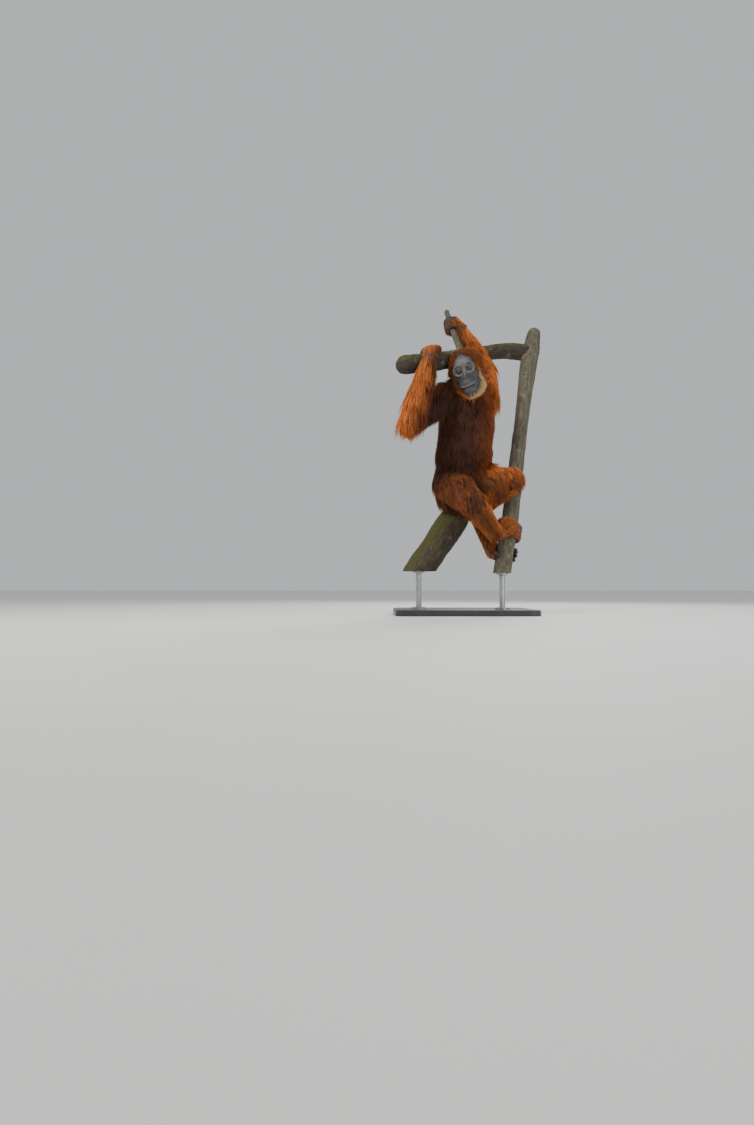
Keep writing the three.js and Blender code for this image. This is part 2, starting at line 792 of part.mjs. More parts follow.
function stemSolid(stations, sides, steps, grow, flatStart) {
  const solid = tube(stations, sides, steps, { grow, roundEnd: true, roundStart: !flatStart });
  if (!flatStart) return solid;
  return solid.trimByPlane([0, 0, 1], stations[0][0].z + flatStart - grow);
}

function baseSolid() {
  const { width, depth, corner, height, bevel } = BASE;
  const x = width / 2 - bevel;
  const y = depth / 2 - bevel;
  const outline = new THREE.Shape();
  outline.moveTo(corner - x, -y);
  outline.lineTo(x - corner, -y);
  outline.absarc(x - corner, corner - y, corner, -Math.PI / 2, 0);
  outline.lineTo(x, y - corner);
  outline.absarc(x - corner, y - corner, corner, 0, Math.PI / 2);
  outline.lineTo(corner - x, y);
  outline.absarc(corner - x, y - corner, corner, Math.PI / 2, Math.PI);
  outline.lineTo(-x, corner - y);
  outline.absarc(corner - x, corner - y, corner, Math.PI, 1.5 * Math.PI);
  const geometry = new THREE.ExtrudeGeometry(outline, {
    depth: height - 2 * bevel,
    bevelThickness: bevel,
    bevelSize: bevel,
    bevelSegments: 1,
    curveSegments: 4,
  });
  geometry.translate(0, 0, bevel);
  return solidOfGeometry(geometry);
}

// A rod between the base and a stem's cut end, with a flange below and a shallow cup plate on top.
function rodSolid(top) {
  const low = BASE.height + GAP;
  const high = top.z - GAP;
  const { radius, flange, flangeHeight, cup, cupHeight, sides } = ROD;
  const profile = [
    [0, low],
    [flange, low],
    [flange, low + flangeHeight - 2],
    [flange - 2, low + flangeHeight],
    [radius, low + flangeHeight + 3],
    [radius, high - cupHeight - 3],
    [cup, high - cupHeight],
    [cup, high],
    [0, high],
  ];
  const geometry = new THREE.LatheGeometry(profile.map(([r, z]) => new THREE.Vector2(r, z)), sides);
  geometry.rotateX(Math.PI / 2);
  geometry.translate(top.x, top.y, 0);
  return solidOfGeometry(geometry);
}

// The coat: flat tapered locks, laid from a root on the undercoat and bent along the body

// Fields of what a lock must stay clear of, by node name
const FLESH = {
  torso: trunkField,
  neck: neckField,
  head: (p) => headField(toHead(p)),
  ...Object.fromEntries(LIMBS.map((limb) => [limb.name, (p) => limbField(p, limb.stations)])),
};
// The undercoat's outside: the head's field holds its own undercoat, as a cap.
const coreField = (name) => (p) => FLESH[name](p) - (name === "head" ? 0 : CORE);

const STEMS = [LEVEL_STEM, UPRIGHT_STEM, SAPLING, SEAT_STEM];
const stemField = (p) => Math.min(...STEMS.map((stem) => limbField(p, stem)));

// How far a place is outside everything but the lock's own node.
function roomAt(p, own) {
  let value = stemField(p);
  for (const name of Object.keys(FLESH))
    if (name !== own) value = Math.min(value, coreField(name)(p));
  return value;
}

// The places a lock runs through, from its sunk root to its tip, with the surface's own normal.
function layLock({ own, root, normal, lie, length, lift, hang }) {
  const field = coreField(own);
  const room = (p) => roomAt(p, own);
  const places = [root.clone().addScaledVector(normal, -LOCK.sunk)];
  const out = normal.clone();
  let heading = lie.clone().addScaledVector(normal, lift).normalize();
  let place = root.clone().addScaledVector(normal, 1);
  for (let i = 1; i <= LOCK.steps; i++) {
    place = place.clone().addScaledVector(heading, length / LOCK.steps);
    const above = LOCK.clear + (LOCK.riseAtTip * i) / LOCK.steps - field(place);
    if (above > 0) place.addScaledVector(slopeOf(field, place), above);
    const crowded = LOCK.clear + 3 - room(place);
    if (crowded > 0) place.addScaledVector(slopeOf(room, place), Math.min(crowded, 30));
    if (room(place) < 2) return null;
    const moved = place.clone().sub(places[places.length - 1]).normalize();
    if (moved.dot(heading) < LOCK.straightest) return null;
    heading = moved.addScaledVector(DOWN, hang).normalize();
    places.push(place);
  }
  return { places, out };
}

// One lock as a solid of three sides that is flat, widest near its root and pointed at its tip.
function lockSolid({ places, out }, width, grow) {
  const points = [];
  const last = places.length - 1;
  for (let i = 0; i < last; i++) {
    const heading = places[i + 1].clone().sub(places[Math.max(i - 1, 0)]).normalize();
    const side = new THREE.Vector3().crossVectors(out, heading).normalize();
    const up = new THREE.Vector3().crossVectors(heading, side);
    const share = i / last;
    const half = (width / 2) * LOCK.widths[i] + 2 * grow;
    const high = LOCK.thick * (1 - 0.6 * share) + 2 * grow;
    points.push(places[i].clone().addScaledVector(side, half).addScaledVector(up, -grow));
    points.push(places[i].clone().addScaledVector(up, high));
    points.push(places[i].clone().addScaledVector(side, -half).addScaledVector(up, -grow));
  }
  const tipHeading = places[last].clone().sub(places[last - 1]).normalize();
  points.push(places[last].clone().addScaledVector(tipHeading, 3 * grow));
  const faces = [[0, 2, 1]];
  for (let i = 0; i + 1 < last; i++)
    for (let j = 0; j < 3; j++) {
      const a = 3 * i + j;
      const b = 3 * i + ((j + 1) % 3);
      faces.push([a, b, b + 3], [a, b + 3, a + 3]);
    }
  const start = 3 * (last - 1);
  for (let j = 0; j < 3; j++) faces.push([start + j, start + ((j + 1) % 3), 3 * last]);
  return solidOf(points, faces);
}

const onSurface = (direction, normal) => direction.clone().projectOnPlane(normal).normalize();

// Roots in rows round a limb, from its trunk end to its far end, each row turned by half a step.
function limbLocks(limb, { rows, around, from, to, length, width, along, lift = 0.1, hang = 0.38 }) {
  const locks = [];
  const start = limb.stations[0][0];
  const end = limb.stations[limb.stations.length - 1][0];
  const axis = end.clone().sub(start).normalize();
  const [across, up] = squareTo(axis);
  for (let row = 0; row < rows; row++) {
    const share = from + ((to - from) * (row + 0.5)) / rows;
    for (let i = 0; i < around; i++) {
      const angle = (2 * Math.PI * (i + 0.5 * (row % 2) + random(-0.15, 0.15))) / around;
      const normal = across
        .clone()
        .multiplyScalar(Math.cos(angle))
        .addScaledVector(up, Math.sin(angle));
      const middle = between(start, end, share + random(-0.02, 0.02));
      const root = middle.clone().addScaledVector(
        normal,
        reach(coreField(limb.name), middle, normal, 140),
      );
      const lie = onSurface(axis.clone().multiplyScalar(along).add(DOWN), normal);
      const own = limb.name;
      const laid = layLock({ own, root, normal, lie, length: length * random(0.8, 1.15), lift, hang });
      if (laid && roomAt(root, own) > 4) locks.push({ laid, width: width * random(0.85, 1.15) });
    }
  }
  return locks;
}

// Rows round the trunk: each is a height and a tilt of its rays from level.
function trunkLocks() {
  const locks = [];
  const field = coreField("torso");
  COAT.torso.forEach(({ height, tilt, around, length, width }, row) => {
    for (let i = 0; i < around; i++) {
      const angle = (2 * Math.PI * (i + 0.5 * (row % 2) + random(-0.15, 0.15))) / around;
      const level = Math.cos(THREE.MathUtils.degToRad(tilt));
      const rise = Math.sin(THREE.MathUtils.degToRad(tilt));
      const ray = at(level * Math.cos(angle), level * Math.sin(angle), rise);
      const middle = at(TRUNK_MIDDLE.x, TRUNK_MIDDLE.y, height + random(-12, 12));
      const root = middle.clone().addScaledVector(ray, reach(field, middle, ray, 260));
      const normal = slopeOf(field, root);
      const laid = layLock({
        own: "torso",
        root,
        normal,
        lie: onSurface(DOWN, normal),
        length: length * random(0.8, 1.15),
        lift: 0.1,
        hang: 0.3,
      });
      if (laid && roomAt(root, "torso") > 6) locks.push({ laid, width: width * random(0.85, 1.15) });
    }
  });
  return locks;
}

// Rows on the head, each at a tilt from the top; its turns run from the front, alike on both sides.
function headLocks() {
  const locks = [];
  for (const { tilt, first, last, count, length, width, drop } of COAT.head)
    for (const side of [-1, 1])
      for (let i = 0; i < count; i++) {
        const turn = THREE.MathUtils.degToRad(
          THREE.MathUtils.lerp(first, last, (i + 0.5) / count) + random(-3, 3),
        );
        const polar = THREE.MathUtils.degToRad(tilt + random(-3, 3));
        const direction = at(
          side * Math.sin(polar) * Math.sin(turn),
          -Math.sin(polar) * Math.cos(turn),
          Math.cos(polar),
        );
        const local = HEAD_MIDDLE.clone().addScaledVector(
          direction,
          reach(headField, HEAD_MIDDLE, direction, 220),
        );
        const normal = slopeOf(headField, local).applyQuaternion(headTurn);
        const sweep = at(side * 0.35, 0.4, -drop).applyQuaternion(headTurn);
        const laid = layLock({
          own: "head",
          root: headPoint(local),
          normal,
          lie: onSurface(sweep, normal),
          length: length * random(0.85, 1.15),
          lift: 0.12,
          hang: 0.2,
        });
        if (laid) locks.push({ laid, width: width * random(0.85, 1.15) });
      }
  return locks;
}

// Nodes: each has a plain shape, its grown copy for keeping others clear, and a material

const COLOURS = {
  coat: [0x8f4321, 0.85, 0],
  face: [0x4a4340, 0.6, 0],
  skin: [0x3f322c, 0.6, 0],
  eye: [0x2a1810, 0.15, 0],
  bark: [0x6f6a55, 0.9, 0],
  moss: [0x4f4a2c, 0.95, 0],
  stand: [0x2d2a28, 0.5, 0],
  metal: [0x8a8a88, 0.35, 1],
};
const MATERIALS = Object.fromEntries(
  Object.entries(COLOURS).map(([name, [color, roughness, metalness]]) => [
    name,
    new THREE.MeshStandardMaterial({ name, color, roughness, metalness }),
  ]),
);

const nodes = [];
const addNode = (name, material, shape) => nodes.push({ name, material, shape });

addNode("perch_sapling", "bark", (grow) => stemSolid(SAPLING, 9, 13, grow, CUT.sapling));
addNode("perch_level_stem", "moss", (grow) => stemSolid(LEVEL_STEM, 9, 15, grow, 0));
addNode("perch_upright_stem", "bark", (grow) => stemSolid(UPRIGHT_STEM, 7, 7, grow, 0));
addNode("perch_seat_stem", "moss", (grow) => stemSolid(SEAT_STEM, 12, 9, grow, CUT.seat));
addNode("eye_right", "eye", () => placedOnHead(eyeSolid(-1)));
addNode("eye_left", "eye", () => placedOnHead(eyeSolid(1)));
for (const grip of GRIPS) addNode(grip.name, "skin", (grow) => gripSolid(grip, grow));

const withLocks = (solid, locks, grow) =>
  joined([solid, ...locks.map(({ laid, width }) => lockSolid(laid, width, grow))]);

for (const limb of LIMBS) {
  const locks = limbLocks(limb, COAT[limb.name.slice(0, -limb.side.length - 1)]);
  addNode(limb.name, "coat", (grow) => withLocks(limbSolid(limb, grow), locks, grow));
}
addNode("ear_right", "face", (grow) => placedOnHead(earSolid(-1, grow)));
addNode("ear_left", "face", (grow) => placedOnHead(earSolid(1, grow)));
addNode("face", "face", (grow) => placedOnHead(faceSolid(grow)));
const hair = headLocks();
addNode("head", "coat", (grow) => withLocks(placedOnHead(headSolid(grow)), hair, grow));
addNode("neck", "coat", (grow) =>
  tube(
    [
      [NECK.low, NECK_RADIUS + CORE + grow],
      [NECK.high, NECK_RADIUS - 8 + CORE + grow],
    ],
    11,
    2,
    { roundEnd: true },
  ),
);
const trunkCoat = trunkLocks();
addNode("torso", "coat", (grow) =>
  withLocks(
    castBall(
      (p) => trunkField(p) - CORE - grow,
      TRUNK_MIDDLE,
      UP,
      at(Math.sin(TRUNK_TURN), -Math.cos(TRUNK_TURN), 0),
      [10, 20, 30, 42, 58, 78, 100, 120, 136, 150, 165],
      18,
      460,
    ),
    trunkCoat,
    grow,
  ),
);

addNode("stand_base", "stand", () => baseSolid());
addNode("stand_rod_front", "metal", () => rodSolid(at(172, -78, SAPLING[0][0].z + CUT.sapling)));
addNode("stand_rod_side", "metal", () => rodSolid(at(-204, 12, SEAT_STEM[0][0].z + CUT.seat)));

// Each node gives way to those before it, and keeps its largest closed surface.
const model = new THREE.Group();
const placed = [];
const boxesMeet = (a, b) =>
  [0, 1, 2].every((i) => a.min[i] <= b.max[i] + GAP && b.min[i] <= a.max[i] + GAP);
for (const node of nodes) {
  let solid = node.shape(0);
  const box = solid.boundingBox();
  for (const other of placed)
    if (boxesMeet(box, other.box)) solid = solid.subtract(other.grown).subtract(other.solid);
  solid = largest(solid);
  placed.push({ solid, box, grown: node.shape(GAP) });
  const mesh = new THREE.Mesh(geometryOf(solid), MATERIALS[node.material]);
  mesh.name = node.name;
  model.add(mesh);
}

export default model;
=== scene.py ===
import json
import math
from contextlib import contextmanager
from functools import partial

import bmesh
import bpy
import numpy as np
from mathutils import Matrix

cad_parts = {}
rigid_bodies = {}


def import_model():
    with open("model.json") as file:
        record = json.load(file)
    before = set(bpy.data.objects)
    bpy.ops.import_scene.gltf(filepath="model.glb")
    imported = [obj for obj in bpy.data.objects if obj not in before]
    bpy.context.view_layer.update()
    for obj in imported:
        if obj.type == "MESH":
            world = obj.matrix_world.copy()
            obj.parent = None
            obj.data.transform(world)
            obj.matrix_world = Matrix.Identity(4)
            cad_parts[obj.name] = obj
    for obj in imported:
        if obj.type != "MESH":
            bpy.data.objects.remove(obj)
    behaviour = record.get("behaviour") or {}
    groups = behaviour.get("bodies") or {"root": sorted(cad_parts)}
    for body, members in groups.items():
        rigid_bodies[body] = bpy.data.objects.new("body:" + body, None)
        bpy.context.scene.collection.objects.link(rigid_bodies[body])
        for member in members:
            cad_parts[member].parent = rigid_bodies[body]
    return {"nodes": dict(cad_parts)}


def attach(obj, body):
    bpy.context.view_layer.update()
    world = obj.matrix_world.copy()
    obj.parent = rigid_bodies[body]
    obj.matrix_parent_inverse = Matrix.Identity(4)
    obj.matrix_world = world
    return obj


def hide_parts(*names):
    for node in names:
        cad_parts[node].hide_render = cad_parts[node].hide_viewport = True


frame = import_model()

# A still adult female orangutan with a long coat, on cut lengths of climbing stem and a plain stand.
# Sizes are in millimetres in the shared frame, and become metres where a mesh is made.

MM = 0.001
UP = np.array([0.0, 0.0, 1.0])
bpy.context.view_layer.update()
rng = np.random.default_rng(7)


def at(x, y, z):
    return np.array([x, y, z], float)


def stem_of(*rows):
    return [(at(*row[:3]), row[3]) for row in rows]


# Driving dimensions, the same as the solids'
JOINT = {
    "shoulder": {"right": at(-78, -70, 1016), "left": at(116, 70, 1033)},
    "elbow": {"right": at(-253, -285, 852), "left": at(148, 292, 1250)},
    "wrist": {"right": at(-163, -210, 1148), "left": at(47, 440, 1500)},
    "hip": {"right": at(-56, -40, 612), "left": at(45, 45, 625)},
    "knee": {"right": at(10, -250, 503), "left": at(216, -78, 622)},
    "ankle": {"right": at(131, -112, 378), "left": at(76, 20, 486)},
}
NECK_LOW, NECK_HIGH, NECK_RADIUS = at(24, 18, 1010), at(12, -70, 1072), 58.0
LIMBS = {  # part: from joint, to joint, shares of the way with their radii
    "upper_arm": ("shoulder", "elbow", ((0, 50), (0.45, 45), (1, 38))),
    "forearm": ("elbow", "wrist", ((0, 38), (0.28, 41), (0.72, 31), (1, 25))),
    "thigh": ("hip", "knee", ((0, 70), (0.5, 61), (1, 46))),
    "shank": ("knee", "ankle", ((0, 46), (0.35, 44), (0.72, 33), (1, 27))),
}
TRUNK_TURN = math.radians(37)
TRUNK = [
    (at(20, 2, 985), at(112, 84, 74)),
    (at(24, 10, 905), at(132, 102, 150)),
    (at(9, -14, 765), at(124, 112, 125)),
    (at(-3, 12, 645), at(118, 100, 92)),
    (at(-16, 34, 570), at(92, 84, 68)),
]
HEAD_AT = at(4, -136, 1112)
HEAD_PITCH, HEAD_ROLL, HEAD_YAW = 13, -15, -17
EYE_APART, EYE_FORWARD, EYE_RADIUS = 25.0, -58.0, 12.0
EAR_AT, EAR_HALF = at(70, 14, -4), at(6, 13, 21)
NOSTRIL_APART, NOSTRIL_HEIGHT = 6.8, -46.5
LID_HALF_WIDTH, LID_OPEN, LID_EDGE = 10.8, 3.9, 1.2
LEVEL_STEM = stem_of(
    (-275, -182, 1120, 43), (-205, -160, 1134, 41), (-128, -135, 1150, 42), (-58, -40, 1190, 40),
    (-12, 120, 1245, 41), (40, 270, 1296, 39), (140, 352, 1338, 38), (256, 348, 1352, 41),
    (372, 285, 1322, 44),
)
UPRIGHT_STEM = stem_of((40, 296, 1300, 21), (26, 380, 1400, 18), (0, 456, 1512, 17), (-22, 500, 1612, 15))
SAPLING = stem_of(
    (168, -84, 173, 42), (185, -60, 260, 41), (210, -20, 372, 40), (240, 42, 520, 39),
    (273, 112, 700, 37), (308, 176, 900, 35), (340, 226, 1090, 37), (366, 262, 1240, 44),
    (386, 284, 1330, 43), (404, 302, 1425, 34),
)
SEAT_STEM = stem_of(
    (-226, 8, 168, 64), (-188, 16, 226, 68), (-132, 32, 306, 66), (-76, 58, 388, 71),
    (-30, 92, 452, 69), (6, 132, 505, 58),
)
SAPLING_CUT, SEAT_CUT = 18, 34
HAND = {"thick": 30, "finger": 9.5, "reach": [92, 106, 110, 98], "thumb": 52}
FOOT = {"thick": 38, "finger": 9.5, "reach": [92, 104, 104, 90], "thumb": 44}
SIDES = {"right": -1, "left": 1}


def unit(v):
    return v / np.maximum(np.linalg.norm(v, axis=-1, keepdims=True), 1e-9)


def step_up(low, high, value):
    share = np.clip((value - low) / (high - low), 0, 1)
    return share * share * (3 - 2 * share)


def bell(value, width):
    return np.exp(-((value / width) ** 2))


# Fields: below zero inside and above zero outside, on arrays of points


def ball(P, middle, half):
    q = (P - middle) / half
    length = np.linalg.norm(q, axis=1)
    slope = np.linalg.norm(q / half, axis=1)
    return length * (length - 1) / np.maximum(slope, 1e-6)


def capsule(P, low, high, low_radius, high_radius):
    axis = high - low
    share = np.clip((P - low) @ axis / (axis @ axis), 0, 1)
    nearest = low + share[:, None] * axis
    return np.linalg.norm(P - nearest, axis=1) - (low_radius + share * (high_radius - low_radius))


def blend(a, b, width):
    near = np.maximum(width - np.abs(a - b), 0) / width
    return np.minimum(a, b) - near * near * width / 4


def carve(a, b, width):
    return -blend(-a, b, width)


def chain_field(P, stations, width=8.0):
    value = np.full(len(P), 500.0)
    for (a, ra), (b, rb) in zip(stations, stations[1:]):
        value = blend(value, capsule(P, a, b, ra, rb), width)
    return value


def turned(P, middle, angle):
    c, s = math.cos(-angle), math.sin(-angle)
    q = P - middle
    return np.stack([c * q[:, 0] - s * q[:, 1], s * q[:, 0] + c * q[:, 1], q[:, 2]], 1)


def trunk_field(P):
    value = np.full(len(P), 500.0)
    for middle, half in TRUNK:
        value = blend(value, ball(turned(P, middle, TRUNK_TURN), at(0, 0, 0), half), 40)
    for side in SIDES:
        value = blend(value, capsule(P, TRUNK[0][0], JOINT["shoulder"][side], 50, 44), 40)
    return value


# The head, in its own axes: +X its left, -Y forward, +Z up, from the line between the eyes


def turn_about(axis, degrees):
    c, s = math.cos(math.radians(degrees)), math.sin(math.radians(degrees))
    i, j = [(1, 2), (2, 0), (0, 1)][axis]
    turn = np.eye(3)
    turn[i, i], turn[i, j], turn[j, i], turn[j, j] = c, -s, s, c
    return turn


HEAD_TURN = turn_about(2, HEAD_YAW) @ turn_about(0, HEAD_PITCH) @ turn_about(1, HEAD_ROLL)


def to_head(P):
    return (P - HEAD_AT) @ HEAD_TURN


def from_head(Q):
    return Q @ HEAD_TURN.T + HEAD_AT


def mouth_height(x):
    return -86 + 6 * (x / 33) ** 2


def mirrored(q):
    return q * [0, 1, 1] + np.abs(q) * [1, 0, 0]


HEAD_BALLS = [  # on both sides or not, middle, half sizes, width of the join
    (False, (0, -24, 30), (50, 34, 34), 24),
    (False, (0, -26, -22), (48, 34, 50), 20),
    (True, (37, -26, -24), (20, 26, 32), 16),
    (False, (0, -58, -70), (40, 44, 40), 18),
    (False, (0, -84, -70), (33, 22, 22), 12),
    (False, (0, -78, -97), (27, 20, 13), 8),
    (False, (0, -46, -104), (34, 36, 24), 12),
    (True, (34, -6, -78), (22, 36, 26), 20),
    (False, (0, 22, -64), (52, 50, 46), 24),
]


def nostril_distance(x, z):
    return np.hypot(x - NOSTRIL_APART, 1.25 * (z - NOSTRIL_HEIGHT))


def head_field(P):
    q = to_head(P)
    m = mirrored(q)
    x, y, z = m.T
    value = ball(q, at(0, 26, 26), at(66, 78, 68))
    for paired, middle, half, width in HEAD_BALLS:
        value = blend(value, ball(m if paired else q, at(*middle), at(*half)), width)
    value = carve(value, ball(m, at(EYE_APART, -78, -1), at(17, 18, 15)), 12)
    round_eye = np.hypot(x - EYE_APART, (z - 1) / 1.1) - 21
    value = blend(value, np.hypot(round_eye, y + 57 - 0.12 * z) - 5.5, 9)
    value = blend(value, capsule(q, at(0, -62, 12), at(0, -80, -38), 7, 8), 10)
    value = blend(value, ball(m, at(7, -90, -43), at(9, 8, 7)), 7)

    eye = at(EYE_APART, EYE_FORWARD, 0)
    value = blend(value, ball(m, eye, at(15.5, EYE_RADIUS + 2.2, 13)), 4)
    front = (y < -40) * 1.0
    below = step_up(2, -6, z) * front
    for radius in (17.5, 23.0, 28.5):
        value = value + 0.9 * below * bell(np.hypot(x - EYE_APART, z) - radius, 1.5)
    across = z - mouth_height(x)
    lips = front * step_up(36, 28, x)
    value = value - 1.6 * lips * bell(across - 4.5, 3.2) - 1.8 * lips * bell(across + 4.5, 3.4)
    value = value + 2.1 * front * step_up(37, 29, x) * bell(across, 1.8)
    crease = step_up(-30, -46, z) * step_up(-100, -84, z) * front
    value = value + 1.2 * crease * bell(x - 26 - 0.25 * (-40 - z), 2.2)
    value = value + 4.2 * front * bell(nostril_distance(x, z), 3.3)
    almond = 1 - ((x - EYE_APART) / LID_HALF_WIDTH) ** 2
    opening = np.maximum(z - LID_OPEN * almond, -z - LID_OPEN * almond)
    socket = np.maximum(y - EYE_FORWARD, EYE_RADIUS - LID_EDGE - np.linalg.norm(m - eye, axis=1))
    return carve(value, np.maximum(opening * 0.8, socket), 0.8)


def ear_field(P, sign):
    turn = turn_about(0, 7) @ turn_about(1, 20 * sign) @ turn_about(2, 28 * sign)
    q = (to_head(P) - EAR_AT * [sign, 1, 1]) @ turn
    shell = ball(q, at(0, 0, 0), EAR_HALF)
    cup = ball(q, at(5 * sign, -2, 1), EAR_HALF * [1, 0.66, 0.7])
    rim = ball(q, at(2.5 * sign, -3, -4), at(3.5, 4, 7))
    return blend(carve(shell, cup, 3), rim, 3)


# Limbs as stations of place and radius, from the trunk outward


def limb_stations(kind, side):
    first, last, stations = LIMBS[kind]
    a, b = JOINT[first][side], JOINT[last][side]
    return [(a + (b - a) * share, radius) for share, radius in stations]


# A smooth curve through points, evenly parted by point, with the root of the spacing as its knots


def curve_point(points, t):
    last = len(points) - 1
    index = min(int(t * last), last - 1)
    share = t * last - index
    p1, p2 = points[index], points[index + 1]
    p0 = points[index - 1] if index > 0 else 2 * p1 - p2
    p3 = points[index + 2] if index + 2 <= last else 2 * p2 - p1
    d0, d1, d2 = (math.sqrt(np.linalg.norm(b - a)) for a, b in ((p0, p1), (p1, p2), (p2, p3)))
    t1 = d1 * ((p1 - p0) / d0 - (p2 - p0) / (d0 + d1) + (p2 - p1) / d1)
    t2 = d1 * ((p2 - p1) / d1 - (p3 - p1) / (d1 + d2) + (p3 - p2) / d2)
    c2 = 3 * (p2 - p1) - 2 * t1 - t2
    c3 = 2 * (p1 - p2) + t1 + t2
    return p1 + t1 * share + c2 * share**2 + c3 * share**3


def curve_tangent(points, t):
    low, high = max(t - 1e-3, 0), min(t + 1e-3, 1)
    return unit(curve_point(points, high) - curve_point(points, low))


# Hands and feet that wrap a stem


def make_grip(kind, side, stem, near, front, flip, sense, start, palm_end, shifts, thumb):
    """A hand or foot round a stem, with the thumb as its angle, shift and spread."""
    points = [s[0] for s in stem]
    places = [curve_point(points, i / 200) for i in range(201)]
    best = int(np.argmin([np.linalg.norm(p - near) for p in places])) / 200
    middle, axis = curve_point(points, best), curve_tangent(points, best)
    radius = stem[min(round(best * (len(stem) - 1)), len(stem) - 1)][1]
    if flip:
        axis = -axis
    forward = unit(front - axis * (front @ axis))
    sideways = np.cross(axis, forward)

    def wrap(degrees, shift, height):
        angle = math.radians(degrees * sense)
        out = forward * math.cos(angle) + sideways * math.sin(angle)
        return middle + axis * shift + out * (radius + height)

    size = HAND if kind == "hand" else FOOT
    limb = limb_stations("forearm" if kind == "hand" else "shank", side)
    joint, joint_radius = limb[-1]
    lead = unit(joint - limb[0][0])
    finger, half = size["finger"], size["thick"] / 2
    chains, tips, knuckles = [], [], []
    for i, length in enumerate(size["reach"]):
        turn = 180 / math.pi / (radius + finger)
        knuckle = wrap(palm_end, shifts[i], finger + 2)
        knuckles.append(knuckle)
        middle_palm = wrap(start + 0.45 * (palm_end - start), shifts[i] * 0.8, half - 1)
        heel = joint + lead * 24 + axis * shifts[i] * 0.35
        chains.append(([(joint, joint_radius - 3), (heel, 15), (middle_palm, half), (knuckle, 11.5)], 16))
        stations = []
        for k, share in enumerate((0, 0.18, 0.36, 0.52, 0.68, 0.84, 1)):
            bulge = 1.1 if k in (0, 2, 4) else -0.3
            thick = finger + 0.8 - 2.2 * share + bulge
            place = wrap(palm_end + share * length * turn, shifts[i], finger + 1)
            stations.append((place, thick))
        chains.append((stations, 4))
        tips.append((stations[-1], stations[-2], wrap, palm_end + length * turn, shifts[i]))
    turn = 180 / math.pi / (radius + 11)
    stations = []
    thumb_angle, thumb_shift, spread = thumb
    for share in (0, 0.33, 0.66, 1):
        angle = thumb_angle - share * size["thumb"] * turn
        place = wrap(angle, thumb_shift + spread * share, 13 - 3 * share)
        stations.append((place, 12.5 - 3.5 * share))
    chains.append(([(joint + lead * 22, 15), (stations[0][0], 13)], 8))
    chains.append((stations, 4))
    tips.append((stations[-1], stations[-2], wrap, angle, thumb_shift + spread))
    reached = np.mean(knuckles, axis=0)
    return {"name": f"{kind}_{side}", "chains": chains, "tips": tips, "middle": middle,
            "knuckles": reached, "ahead": unit(reached - joint)}


def grip_field(P, chains):
    value = np.full(len(P), 500.0)
    for stations, width in chains:
        value = blend(value, chain_field(P, stations, 5), width)
    return value


GRIPS = [
    make_grip("hand", "right", LEVEL_STEM, at(-150, -150, 1146), at(0, -1, 0), True, 1,
              8, 98, [-29, -10, 10, 28], (30, 40, 14)),
    make_grip("hand", "left", UPRIGHT_STEM, at(-2, 462, 1522), at(0.8, -0.6, 0), False, -1,
              -22, 42, [28, 10, -10, -28], (-8, -34, -10)),
    make_grip("foot", "right", SAPLING, at(212, -16, 384), at(0, -1, 0), False, 1,
              -58, 34, [26, 9, -9, -27], (-30, 32, 12)),
    make_grip("foot", "left", SAPLING, at(190, -52, 296), at(-1, 0, 0), True, 1,
              -4, 52, [-26, -9, 9, 27], (0, 34, 10)),
]


# The whole body as parts, each with its field, its box and the width of its joining crease


class Part:
    def __init__(self, name, field, stations, soft):
        self.name, self.field, self.soft = name, field, soft
        self.low = np.min([p - r for p, r in stations], axis=0)
        self.high = np.max([p + r for p, r in stations], axis=0)


def body_parts():
    trunk_box = [(middle, half.max()) for middle, half in TRUNK]
    parts = [Part("torso", trunk_field, trunk_box, 30)]
    neck = [(NECK_LOW, NECK_RADIUS), (NECK_HIGH, NECK_RADIUS - 8)]
    parts.append(Part("neck", partial(chain_field, stations=neck), neck, 30))
    for kind, soft in (("upper_arm", 26), ("forearm", 9), ("thigh", 26), ("shank", 9)):
        for side in SIDES:
            stations = limb_stations(kind, side)
            field = partial(chain_field, stations=stations)
            parts.append(Part(f"{kind}_{side}", field, stations, soft))
    for grip in GRIPS:
        stations = [s for chain, _ in grip["chains"] for s in chain]
        parts.append(Part(grip["name"], partial(grip_field, chains=grip["chains"]), stations, 9))
    parts.append(Part("head", head_field, [(HEAD_AT, 135)], 12))
    for side, sign in SIDES.items():
        around = [(from_head(EAR_AT * [sign, 1, 1]), 26)]
        parts.append(Part(f"ear_{side}", partial(ear_field, sign=sign), around, 4))
    return parts


PARTS = body_parts()
NAMES = [part.name for part in PARTS]


def body(P, reach=25.0):
    value = np.full(len(P), 200.0)
    label = np.zeros(len(P), int)
    nearest = np.full(len(P), 1e9)
    for i, part in enumerate(PARTS):
        near = np.all((P > part.low - reach) & (P < part.high + reach), axis=1)
        if near.any():
            own = part.field(P[near])
            value[near] = blend(value[near], own, part.soft)
            closer = own < nearest[near]
            index = np.flatnonzero(near)[closer]
            nearest[index], label[index] = own[closer], i
    return value, label


def slope(P, step=0.8):
    shifts = np.array([[1, -1, -1], [-1, -1, 1], [-1, 1, -1], [1, 1, 1]], float)
    return unit(sum(s * body(P + s * step)[0][:, None] for s in shifts))


def settle(P, rounds=3):
    for _ in range(rounds):
        P = P - slope(P) * np.clip(body(P)[0], -4, 4)[:, None]
    return P


# A dense grid of the field, for the first skin and for keeping hair out of the body


